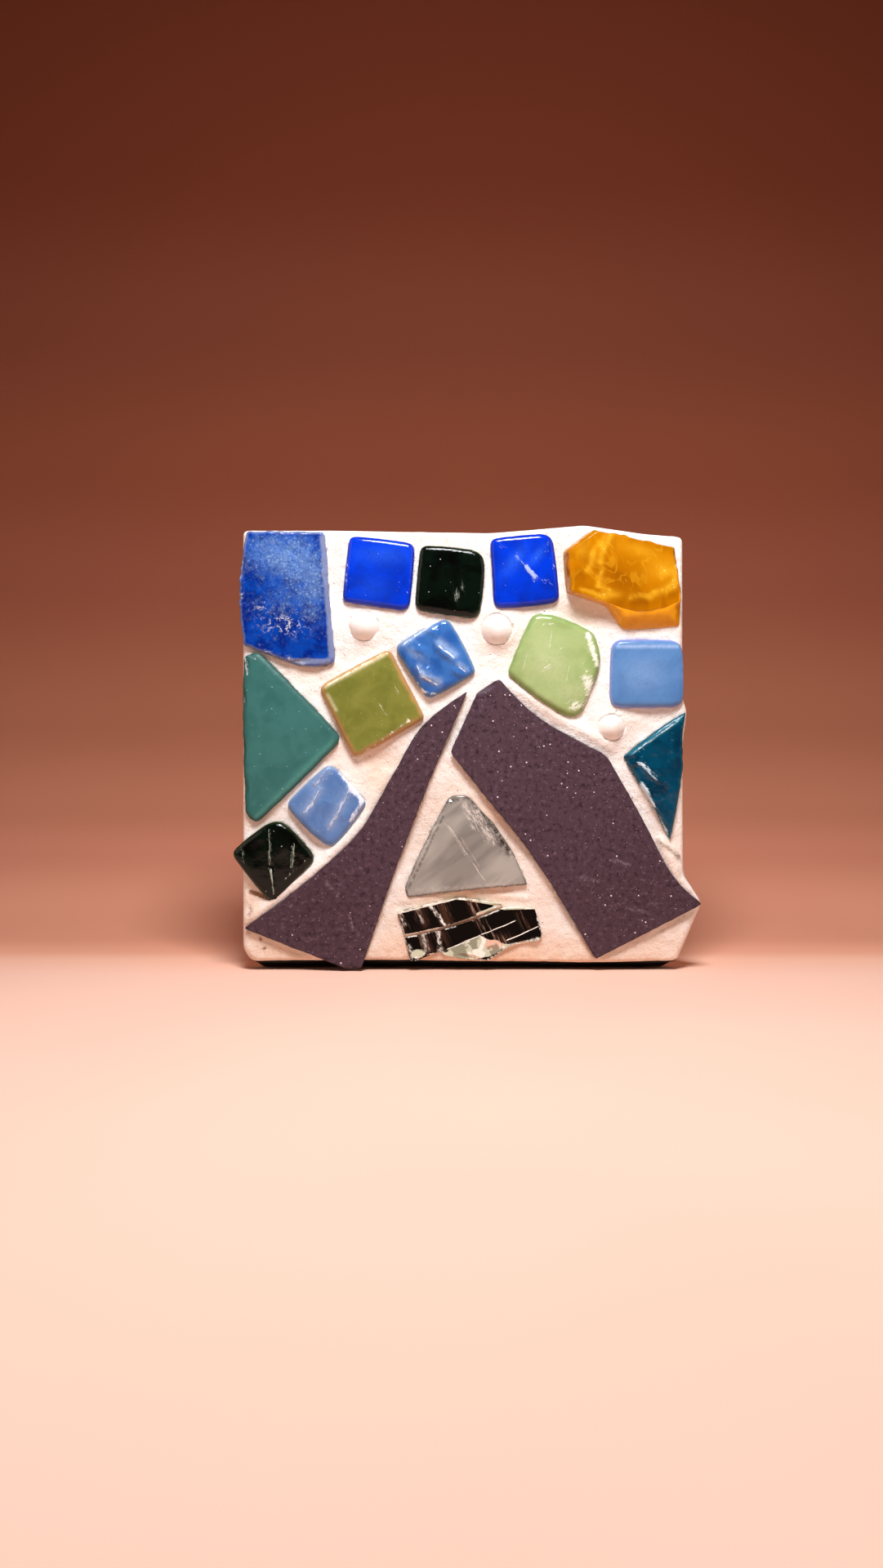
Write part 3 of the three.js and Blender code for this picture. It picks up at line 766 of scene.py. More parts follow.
@dataclass(frozen=True)
class GreyGlass:
    """Milky grey glass with soft slanting wisps, chipped dark along the edges."""

    name: str = "grey glass"
    body: Tint = paint("8b8781")
    pale: Tint = paint("aaa69f")
    dark: Tint = paint("66645f")

    def material(self) -> bpy.types.Material:
        """The finish as a node material."""
        g = Graph(self.name)
        wisps = g.cloud(4.4, 2, 0.45, g.stretched((1.0, 1.0, 0.3), -52), swirl=0.9)
        fine = g.cloud(1.3, 3, 0.5, g.stretched((1.0, 1.0, 0.2), -52))
        colour = g.mix(wisps.between(0.36, 0.66), self.body, self.pale)
        colour = g.mix(fine.between(0.45, 0.7, 0, 0.4), colour, self.dark)
        colour = g.mix(g.mask("tone") * g.cloud(0.7, 4, 0.7).between(0.4, 0.58), colour, paint("3c332e"))
        line = g.mask("scuff") * g.cloud(0.3, 5, 0.8, g.stretched((1.0, 1.0, 0.3), 32)).between(0.45, 0.6)
        for start, end, share in (
            ((-2.4, 22.2), (3.2, 13.6), 0.75), ((-2.9, 22.6), (0.4, 17.4), 0.35),
            ((-0.4, 20.4), (2.4, 15.8), 0.35), ((0.4, 24.8), (3.2, 19.6), 0.5),
            ((1.6, 24.0), (4.2, 19.8), 0.6),
        ):
            broken = g.cloud(0.9, 4, 0.7).between(0.4, 0.56, 0.1, share)
            line = line.most(g.crack(start, end, 0.07, 0.7) * broken)
        colour = g.mix(line, colour, paint("e6ded6"))
        edge = g.mask("rim").between(0.02, 0.4, 0.8, 0) * g.cloud(0.5, 3, 0.7).between(0.35, 0.6)
        colour = g.mix(edge, colour, paint("554b45"))
        rough = g.cloud(1.6, 4).between(0.3, 0.7, 0.1, 0.2) + line * 0.3
        normal = g.bump(g.cloud(2.0, 2), 0.02)
        normal = g.bump(g.cloud(0.15, 3) + line, 0.008, normal)
        return g.surface(colour, rough, normal, IOR=1.5)


@dataclass(frozen=True)
class MirrorGlass:
    """Old mirror: glossy black that is a painted reflection of dark surroundings, brown upright streaks,
    bright crack lines and painted highlights along the gap between the strips, and clear glass at "tone" with
    painted shade and highlights.
    """

    name: str = "mirror glass"
    # black of the painted reflection of dark surroundings
    dark: Tint = paint("060403")
    brown: Tint = paint("55372a")
    clear: Tint = paint("ccd0b8")
    shadow: Tint = paint("e6bfa8")
    # white of the crack lines and of painted highlights and glints
    bright: Tint = paint("fffaf0")
    # The first three lines run along the gap between the strips and are painted highlights on both edges; the
    # rest are crack lines.
    cracks_and_edge_highlights: tuple[tuple[Point, Point, float], ...] = (
        ((-9.3, 5.35), (-2.4, 6.75), 0.2), ((-2.6, 6.7), (2.0, 8.2), 0.24), ((1.8, 8.1), (6.4, 10.1), 0.3),
        ((-2.6, 3.3), (2.6, 5.5), 0.11),
        ((2.6, 5.5), (7.9, 7.65), 0.09), ((6.4, 4.6), (11.4, 6.8), 0.1), ((-10.2, 8.7), (-1.4, 10.9), 0.12),
        ((4.9, 9.4), (10.7, 10.0), 0.12),
    )  # fmt: skip

    def material(self) -> bpy.types.Material:
        """The finish as a node material."""
        g = Graph(self.name)
        bars = g.cloud(1.2, 3, 0.6, g.stretched((1.0, 1.0, 0.08), 25))
        hair = g.cloud(0.4, 3, 0.7, g.stretched((1.0, 1.0, 0.08), 25))
        brown = g.mask("stain") * bars.between(0.4, 0.6)
        # Painted reflection: the mirror is painted black instead of reflecting.
        colour = g.mix(brown.most(bars.between(0.62, 0.74, 0, 0.4)), self.dark, self.brown)
        colour = g.mix(g.mask("stain") * hair.between(0.52, 0.66) * 0.8, colour, paint("b59480"))
        dust = (g.cloud(0.3, 5, 0.8) + g.mask("stain") * 0.06).between(0.66, 0.76)
        colour = g.mix(dust * 0.4, colour, paint("a08470"))
        glassy = (g.mask("tone") + (g.cloud(0.7, 4, 0.7) - 0.5) * 0.5).between(0.42, 0.58)
        # Clear glass with painted light: peach painted shadow at "stain", dark olive painted shade and bright
        # painted highlights.
        clear_glass_and_painted_light = g.mix(g.mask("stain").between(0.3, 0.7), self.clear, self.shadow)
        clear_glass_and_painted_light = g.mix(
            g.cloud(2.2, 2, 0.5, g.stretched((1.0, 1.0, 0.6), 30)).between(0.52, 0.58, 0, 0.7), clear_glass_and_painted_light,
            paint("6e6e58"),
        )
        clear_glass_and_painted_light = g.mix(g.cloud(1.5, 3, 0.6).between(0.55, 0.62, 0, 0.9), clear_glass_and_painted_light, self.bright)
        colour = g.mix(glassy, colour, clear_glass_and_painted_light)
        # Painted glints: sparkles at the scuffs, along the edges and on the bright lines.
        glint = g.mask("scuff").between(0.1, 0.9) * g.cloud(
            0.35, 5, 0.8, g.stretched((1.0, 1.0, 0.4), 25),
        ).between(0.44, 0.58)
        edge = g.mask("rim").between(0.03, 0.22, 0.9, 0) * g.cloud(0.8, 4, 0.7).between(0.5, 0.56)
        glint = glint.most(edge)
        for start, end, width in self.cracks_and_edge_highlights:
            glint = glint.most(g.crack(start, end, width) * g.cloud(1.2, 3).between(0.3, 0.5, 0.45, 1))
        colour = g.mix(glint, colour, self.bright)
        rough = glassy.between(0, 1, 0.03, 0.12) + glint * 0.25
        normal = g.bump(g.cloud(4.0, 2), 0.01)
        normal = g.bump(glassy - glint, 0.03, normal)
        return g.surface(colour, rough, normal, IOR=1.5, Specular_IOR_Level=0.06)


@dataclass(frozen=True)
class BeadGlass:
    """White opal glass, glossy, with the faintest warm clouds and a grouty rim."""

    name: str = "white glass"
    body: Tint = paint("f6f2ee")
    warm: Tint = paint("efe0d4")

    def material(self) -> bpy.types.Material:
        """The finish as a node material."""
        g = Graph(self.name)
        colour = g.mix(g.cloud(1.6, 3).between(0.4, 0.7, 0, 0.6), self.body, self.warm)
        film = g.mask("rim").between(0.15, 0.9, 1, 0) * g.cloud(0.5, 3).between(0.3, 0.6)
        rough = g.cloud(0.8, 3).between(0.3, 0.7, 0.3, 0.4) + film * 0.45
        normal = g.bump(g.cloud(0.9, 3), 0.02)
        normal = g.bump(film * g.cloud(0.2, 3), 0.02, normal)
        return g.surface(colour, rough, normal, IOR=1.5)


@dataclass(frozen=True)
class Grout:
    """White sanded grout: grit, pinholes, cream, warm stains and painted warm shade at "warm", soiling and
    painted crease shade at "dirt", painted black shade under the lip at "foot".
    """

    name: str = "sanded grout"
    white: Tint = paint("fcf8f4")
    cream: Tint = paint("f4e6da")
    # warm sand colour of stains and of painted warm shade
    warm: Tint = paint("ecc6a8")
    # brown of soiling and of painted crease shade
    dirt_and_shade: Tint = paint("6f4a30")
    # nearly black: the painted shade in the gap under the front lip
    lip_shade_black: Tint = paint("140c09")

    def material(self) -> bpy.types.Material:
        """The finish as a node material."""
        g = Graph(self.name)
        sand = g.cloud(0.28, 4, 0.7)
        lumps = g.cloud(1.5, 4, 0.6)
        colour = g.mix(g.cloud(7.0, 3).between(0.4, 0.68, 0, 0.8), self.white, self.cream)
        colour = g.mix(lumps.between(0.3, 0.45, 0.5, 0), colour, self.cream)
        # Warm sand colour: stains, and painted warm shade in the hollows, inside the tent and along the
        # bottom.
        colour = g.mix(g.mask("warm") * g.cloud(2.5, 4, 0.6).between(0.25, 0.6, 0.55, 1), colour, self.warm)
        colour = g.mix(sand.between(0.34, 0.43, 0.25, 0), colour, paint("c8a892"))
        holes = g.cells(0.85).between(0.07, 0.15, 1, 0) * g.cloud(0.7).between(0.5, 0.6)
        colour = g.mix(holes * 0.6, colour, paint("9c8270"))
        specks = g.cells(2.6).between(0.03, 0.055, 1, 0)
        colour = g.mix(specks * 0.7, colour, paint("7d6a60"))
        # Brown of soiling and of painted shade in creases, a crevice and pits.
        grime_and_crease_shade = (g.mask("dirt_and_shade") * 1.4 + g.cloud(0.8, 5, 0.75) - 0.75).between(0.08, 0.75)
        colour = g.mix(grime_and_crease_shade, colour, g.mix(sand.between(0.4, 0.6), self.dirt_and_shade, paint("a98468")))
        # Painted shade: the gap under the front lip is painted nearly black.
        lip_shade_share = (g.mask("lip_shade") + (g.cloud(1.6, 4, 0.6) - 0.5) * 0.3).between(0.4, 0.62)
        colour = g.mix(lip_shade_share, colour, self.lip_shade_black)
        rough = sand.between(0.3, 0.7, 0.78, 0.95)
        normal = g.bump(lumps, 0.3)
        normal = g.bump(sand - holes * 0.5, 0.13, normal)
        return g.surface(colour, rough, normal, IOR=1.4)


class Finish(Enum):
    """The finish of each material slot in the record."""

    GROUT = ("grout", Grout())
    SPECKLED = ("speckled_glass", SpeckledGlass())
    COBALT = (
        "cobalt_glass",
        Glass(
            "cobalt glass", paint("0036d2"), paint("032cb0"), paint("1c2a90"), 0.5, 0.7, tone=paint("2f6cf0"),
            scuff=paint("a8bdf0"), speck_share=0.15, hackle=37,
            scratch_and_highlight_lines=(((8.0, 63.0), (9.6, 60.8), 0.06), ((9.4, 61.4), (10.8, 59.6), 0.16)),
        ),
    )
    BLACK = (
        "black_glass",
        Glass(
            "black glass", paint("03100a"), paint("000302"), paint("2c3a1c"), 0.5, 0.6, scuff=paint("a9b3a2"),
            speck_share=0.5, grain=0.014, hackle=4,
            scratch_and_highlight_lines=(
                ((-29.5, 21.6), (-29.2, 16.4), 0.07), ((-29.1, 15.3), (-28.7, 11.8), 0.09),
                ((-25.6, 19.4), (-25.9, 15.8), 0.06),
            ),
        ),
    )
    AMBER = ("amber_glass", AmberGlass())
    RIPPLED = (
        "rippled_blue_glass",
        Glass(
            "rippled blue glass", paint("3a70b8"), paint("2757a0"), paint("6f8fa8"), 0.5, 0.7,
            # Painted highlights: the pale tone and the white lines are the bright crescents of the ripples
            # and the highlight along the upper left edge.
            tone=paint("a9c6ea"), scuff=paint("e9f2fc"), speck_share=0.1, hackle=-35,
            scratch_and_highlight_lines=(
                ((-3.9, 49.3), (-1.4, 47.4), 0.17), ((-6.5, 44.7), (-3.9, 43.3), 0.17),
                ((-0.8, 46.1), (0.3, 45.3), 0.12), ((-9.3, 49.4), (-4.8, 52.5), 0.17),
                ((-7.1, 46.4), (-6.5, 44.8), 0.1),
            ),
        ),
    )
    OLIVE = (
        "olive_glass",
        Glass(
            # Painted highlight: the cream tone and the first line along the upper left edge; the second line
            # is a scratch.
            "olive glass", paint("80833c"), paint("6f7430"), paint("b98a56"), 1.0, 0.9, tone=paint("efe7bd"),
            scuff=paint("efe8cc"), speck=paint("d8cf9a"), speck_share=0.3, hackle=33,
            scratch_and_highlight_lines=(((-20.7, 43.3), (-12.4, 48.0), 0.18), ((-12.9, 40.6), (-11.6, 38.6), 0.03)),
        ),
    )
    PALE_GREEN = (
        "pale_green_glass",
        Glass(
            "pale green glass", paint("a3b87a"), paint("92ab69"), paint("6f8f4c"), 0.9, 0.6,
            tone=paint("bccb98"), speck_share=0.1, scuff=paint("f2f6e4"), hackle=-60,
            scratch_and_highlight_lines=(
                ((13.3, 51.6), (12.8, 48.8), 0.045), ((9.5, 48.2), (8.9, 45.6), 0.035),
                ((15.9, 46.4), (15.4, 43.8), 0.035),
            ),
        ),
    )
    SKY = (
        "sky_glass",
        Glass(
            "sky glass", paint("5585bd"), paint("4c7ab2"), paint("8f94d0"), 0.5, 0.7, tone=paint("9dbbe6"),
            rough=0.2,
        ),
    )
    TEAL = (
        "teal_glass",
        Glass(
            "teal glass", paint("376f6b"), paint("2d6460"), paint("26524c"), 0.9, 0.7, tone=paint("4b8a82"),
            rough=0.4, speck=paint("a9cdc6"), speck_share=0.6,
        ),
    )
    PERIWINKLE = (
        "periwinkle_glass",
        Glass(
            "periwinkle glass", paint("5f84ba"), paint("4d70a8"), paint("8ba0c0"), 0.5, 0.7,
            tone=paint("90aad2"), scuff=paint("dbe4f4"), rough=0.14, speck_share=0.3, hackle=-24,
            scratch_and_highlight_lines=(
                ((-20.2, 31.4), (-22.6, 28.0), 0.06), ((-21.8, 27.6), (-24.0, 24.0), 0.06),
                ((-16.8, 28.4), (-20.2, 22.0), 0.07),
            ),
        ),
    )
    PETROL = (
        "petrol_glass",
        Glass(
            "petrol glass", paint("004460"), paint("002c42"), paint("1c5f70"), 0.5, 0.6, tone=paint("2f8098"),
            speck=paint("7fb0bc"), speck_share=0.4, grain=0.014, hackle=47, scuff=paint("cfe2ea"),
            scratch_and_highlight_lines=(
                ((26.4, 31.6), (29.2, 28.9), 0.13), ((26.9, 28.4), (28.8, 24.8), 0.1),
                # Painted highlight: the bright line along the upper left edge.
                ((25.3, 32.9), (32.6, 38.1), 0.14),
            ),
        ),
    )
    PORCELAIN = ("plum_porcelain", Porcelain())
    GREY = ("grey_glass", GreyGlass())
    MIRROR = ("mirror_glass", MirrorGlass())
    WHITE = ("white_glass", BeadGlass())

    @property
    def slot(self) -> str:
        """The slot's name in the record."""
        return self.value[0]

    @property
    def material(self) -> bpy.types.Material:
        """The finish's material, made when it is first asked for."""
        finish = self.value[1]
        return bpy.data.materials.get(finish.name) or finish.material()


# ---------------------------------------------------------------------------------------------------
# Pieces
# ---------------------------------------------------------------------------------------------------


def place_piece(piece: bpy.types.Object, node: str, finish: Finish) -> bpy.types.Object:
    """Dresses a finished piece, lets it ride with the panel and shows it instead of its solid.

    Args:
        piece: The finished mesh object.
        node: The solid that it stands for.
        finish: The finish of its one material slot.

    Returns:
        The same object.
    """
    piece.data.materials.append(finish.material)
    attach(piece, "root")
    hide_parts(node)
    LOG.info("%s: %d faces, %s", piece.name, len(piece.data.polygons), finish.slot)
    return piece


@dataclass(frozen=True)
class Tile:
    """A flat piece bedded in the grout: straight sides, a rounded shoulder and a slightly domed face.

    Attributes:
        node: The solid that it stands for.
        finish: Its finish.
        shoulder: Width and height of the rounded edge.
        crown: How far the face's middle stands out beyond its shoulder.
        softness: How far the outline's corners are softened.
        nicks: How deep the outline is nibbled.
        points: Points round the outline, and rows from the outline to the middle.
        taper: How much smaller the back is than the face, as a share.
        relief: Ridges and ripples of the face, which die away towards the edge.
        chips: Flakes that have left the face or the edge.
        tone: Where the second colour of the finish lies.
        scuffs: Where the surface is rubbed or cracked white.
        stain: Where the third colour of the finish lies.
    """

    node: str
    finish: Finish
    shoulder: Point = (0.95, 0.7)
    crown: float = 0.35
    softness: float = 0.3
    nicks: float = 0.05
    points: tuple[int, int] = (288, 44)
    taper: float = 0.1
    relief: Field = marks()
    chips: Field = marks()
    tone: Field = marks()
    scuffs: Field = marks()
    stain: Field = marks()

    def build(self, frame: dict) -> bpy.types.Object:
        """Makes the tile on its solid's outline.

        The rows are the outline shrunk towards its middle: over the back, up the wall and over the face.
        With d the distance in from the outline, w and h the shoulder's width and height, and e the
        distance from the middle measured in the outline's own spread, the face lies behind its highest
        point by h * (1 - sqrt(1 - (1 - d/w)^2)) + crown * e^2, less the relief and the chips.


        Returns:
            The tile.
        """
        around, across = self.points
        seed = sum(map(ord, self.node))
        outline = Outline.of_node(
            frame["nodes"][self.node], around, self.softness,
        ).worn(self.nicks, 0.9, seed)
        middle = outline.middle
        low, high = (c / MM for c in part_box(self.node))
        shrink = closing_in(across, 1.3)
        spokes = outline.points - middle
        face = middle + shrink[:, None] * spokes
        edge_y, _ = self.face_depth(outline, middle, outline.points[None], low.y)
        face_y, face_rim = self.face_depth(outline, middle, face, low.y)
        rise = np.array([0.0, 0.04, 0.35, 0.7, 0.92, 1.0])[:, None]
        wall_y = high.y + (edge_y - high.y) * rise
        back = middle + np.array([0.3, 0.85])[:, None] * (1 - self.taper) * spokes
        flat = np.vstack([back, middle + (1 - self.taper * (1 - rise)) * spokes, face])
        depth = np.vstack([np.full(back.shape, high.y), wall_y, face_y])
        rim = np.vstack([np.zeros(back.shape), np.zeros(wall_y.shape), face_rim])
        rows = np.stack([flat.real, depth, flat.imag], axis=-1)
        fields = {"tone": self.tone, "scuff": self.scuffs, "stain": self.stain}
        masks = {"rim": rim} | {name: np.clip(f(flat.real, flat.imag), 0, 1.4) for name, f in fields.items()}
        piece = shell(f"{self.node}_dressed", rows, masks)
        return place_piece(piece, self.node, self.finish)

    def face_depth(self, outline: Outline, middle: complex, flat: Array, front: float) -> tuple[Array, Array]:
        """Depth of the face, as build() says, and the distance in from the outline.

        Args:
            outline: The tile's outline.
            middle: Its middle.
            flat: Places on the face as complex numbers.
            front: Y of the face's highest point.

        Returns:
            Y and distance in from the outline, each with the shape of flat.
        """
        x, z = flat.real, flat.imag
        inside = np.clip(outline.inside(x, z), 0, None)
        width, height = self.shoulder
        rounding = height * (1 - np.sqrt(1 - np.clip(1 - inside / width, 0, 1) ** 2))
        reach = outline.points - middle
        spread = np.linalg.inv(np.cov(np.stack([reach.real, reach.imag])))
        away = np.stack([x - middle.real, z - middle.imag])
        e2 = np.einsum("i...,ij,j...->...", away, spread, away) / FULL_CROWN
        fade = np.clip(inside / RELIEF_FADE, 0, 1)
        worked = self.relief(x, z) * fade + self.chips(x, z)
        return front + FACE_SETBACK + rounding + self.crown * np.clip(e2, 0, 1.2) - worked, inside


@dataclass(frozen=True)
class AmberShard:
    """The thick shard of amber glass: a broken edge that slopes in from its bed to a gently waving face."""

    node: str = "amber_glass_piece"
    around: int = 360
    face_rows: int = 46
    edge_rows: int = 14
    face_corners: tuple[Point, ...] = (
        (15.9, 63.3), (19.9, 66.4), (24.9, 65.3), (31.2, 63.8), (32.3, 59.0), (32.4, 55.9),
        (30.3, 54.9), (28.0, 54.4), (25.9, 54.3), (24.0, 54.7), (21.6, 55.6), (16.1, 57.5),
    )
    # Brown patches, and painted shade along the top of the facet at (27, 56).
    browns_and_shade: Field = marks(
        Mound((23.6, 60.4), (2.8, 3.0), 0.8, 20), Mound((17.8, 60.6), (1.6, 2.4), 0.5),
        Mound((27.0, 56.0), (4.6, 1.1), 0.9, 6),
        Mound((31.4, 57.2), (1.0, 0.9), 0.8), Mound((28.4, 64.0), (2.6, 0.8), 0.35, -20),
        Mound((26.4, 59.8), (1.2, 2.0), 0.4),
    )  # fmt: skip
    swirls: Field = marks(
        Ridge((22.3, 66.2), (20.9, 64.2), 0.45, 0.9), Ridge((20.9, 64.2), (20.3, 61.9), 0.5, 0.9),
        Ridge((20.8, 65.6), (19.3, 63.2), 0.4, 0.7), Ridge((19.3, 63.2), (18.5, 60.4), 0.45, 0.7),
        Ridge((20.6, 60.4), (20.0, 58.2), 0.35, 0.8), Ridge((20.0, 58.2), (21.5, 57.4), 0.35, 0.8),
        Ridge((17.6, 57.6), (20.6, 56.5), 0.35, 0.8), Mound((21.6, 56.7), (1.5, 0.6), 0.8, 12),
        Mound((29.8, 60.6), (2.4, 1.5), 0.6, 10), Mound((30.4, 60.2), (1.1, 0.6), 0.6, 15),
        Ridge((31.8, 61.0), (31.4, 58.4), 0.5, 0.9), Ridge((31.4, 58.4), (28.0, 56.6), 0.55, 0.9),
        Ridge((28.0, 56.6), (24.8, 56.6), 0.5, 0.5), Mound((26.0, 63.6), (3.2, 1.0), 0.5, -15),
        Mound((17.6, 63.6), (1.2, 1.4), 0.4),
    )  # fmt: skip

    def build(self, frame: dict) -> bpy.types.Object:
        """Makes the shard on its solid's outline.

        Both outlines are read at the same directions from one middle, so a row between them is
        (1 - t) * base + t * face, whose depth follows 1 - (1 - t)^1.6. Scallops of 0.16 mm run round it.


        Returns:
            The shard.
        """
        base = Outline.of_node(frame["nodes"][self.node], 4 * self.around, 0.15)
        face = Outline.through(np.array([complex(*c) for c in self.face_corners]), 4 * self.around, 0.18)
        middle = face.middle
        turns = np.linspace(-math.pi, math.pi, self.around, endpoint=False)
        base_ring, face_ring = (self.at_turns(line.points - middle, turns) for line in (base, face))
        low, high = (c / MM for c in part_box(self.node))
        t = (np.arange(self.edge_rows + 1) / self.edge_rows)[:, None]
        slope = base_ring + t * (face_ring - base_ring)
        scallop = 0.16 * np.sin(math.pi * t) * Grain(1.3, 5, 2)(slope.real, slope.imag)
        slope = slope * (1 - scallop / np.abs(slope))
        shrink = closing_in(self.face_rows, 1.15)
        inner = shrink[:, None] * face_ring
        waves = marks(
            Grain(4.5, 8, 1, 0.07), Grain(1.6, 9, 1, 0.02), Ridge((19.2, 66.0), (18.0, 58.0), 1.1, 0.06),
        )
        face_y = low.y + 0.16 + 0.32 * (np.abs(inner) / 9.0) ** 2 - waves(
            (middle + inner).real, (middle + inner).imag,
        )
        top_y = low.y + 0.2 + 0.32 * (np.abs(face_ring) / 9.0) ** 2
        slope_y = (GROUT_FACE - 0.35) + (top_y - GROUT_FACE + 0.35) * (1 - (1 - t) ** 1.6)
        wall = np.array([0.0, 0.3, 0.65, 0.9])[:, None]
        wall_y = high.y + (slope_y[:1] - high.y) * wall
        back = np.array([0.35, 0.85])[:, None] * base_ring
        flat = middle + np.vstack([back, np.repeat(base_ring[None], wall.size, axis=0), slope, inner])
        depth = np.vstack([np.full(back.shape, high.y), wall_y, slope_y, face_y])
        rim = np.vstack([
            np.zeros((back.shape[0] + wall.size, self.around)), np.repeat(t * 0.3, self.around, axis=1),
            0.3 + np.clip(face.inside((middle + inner).real, (middle + inner).imag), 0, None),
        ])
        outer = np.vstack([
            np.ones((back.shape[0] + wall.size, self.around)), np.ones_like(slope_y), np.zeros_like(face_y),
        ])
        # The slope below z = 57.2 is the ground facet; its "tone" is painted bright as painted light.
        lower = 1 / (1 + np.exp((flat.imag - 57.2) / 0.25))
        rows = np.stack([flat.real, depth, flat.imag], axis=-1)
        swirls, browns_and_shade = (Strayed(f, 0.25, 2.2)(flat.real, flat.imag) for f in (self.swirls, self.browns_and_shade))
        masks = {
            "rim": rim, "tone": outer * lower, "scuff": np.clip(swirls, 0, 1), "stain": np.clip(browns_and_shade, 0, 1),
        }
        return place_piece(shell("amber_shard_dressed", rows, masks), self.node, Finish.AMBER)

    @staticmethod
    def at_turns(spokes: Array, turns: Array) -> Array:
        """The points of a line about the origin that lie in given directions, between its nearest points."""
        order = np.argsort(np.angle(spokes))
        length = np.interp(turns, np.angle(spokes)[order], np.abs(spokes)[order], period=2 * math.pi)
        return length * np.exp(1j * turns)


@dataclass(frozen=True)
class Bead:
    """A half-round bead: a low dome turned about its middle, a little uneven, on a short drum."""

    node: str
    around: int = 96
    dome_rows: int = 26

    def build(self, frame: dict) -> bpy.types.Object:
        """Makes the bead: at the share r of its radius the dome stands out by H * (1 - r^2)^0.8.


        Returns:
            The bead.
        """
        low, high = (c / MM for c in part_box(self.node))
        middle, radius = (complex(low.x + high.x, low.z + high.z) / 2, (high.x - low.x) / 2)
        turns = np.exp(2j * math.pi * np.arange(self.around) / self.around)
        r = np.cos(np.arange(self.dome_rows) / self.dome_rows * math.pi / 2)[:, None]
        rise = 1.85
        wobble = 1 - 0.03 * (0.5 + 0.5 * Grain(1.7, 31, 2)(
            radius * turns.real + middle.real, radius * turns.imag,
        ))
        share = np.vstack([[[0.4]], [[0.97]], [[0.97]], [[0.985]], r])
        drop = np.vstack([[[0.0]], [[0.0]], [[0.4]], [[0.8]], np.full(r.shape, 1.0)])
        depth = high.y + (low.y + rise - high.y) * drop - np.vstack([
            np.zeros((4, 1)), rise * (1 - r**2) ** 0.8,
        ]) * 0.985
        flat = middle + radius * share * wobble * turns
        rows = np.stack([flat.real, np.broadcast_to(depth, flat.shape), flat.imag], axis=-1)
        rim = np.broadcast_to(radius * (1 - share), flat.shape)
        piece = shell(f"{self.node}_dressed", rows, {"rim": rim})
        return place_piece(piece, self.node, Finish.WHITE)


# ---------------------------------------------------------------------------------------------------
# Sub-assemblies
# ---------------------------------------------------------------------------------------------------


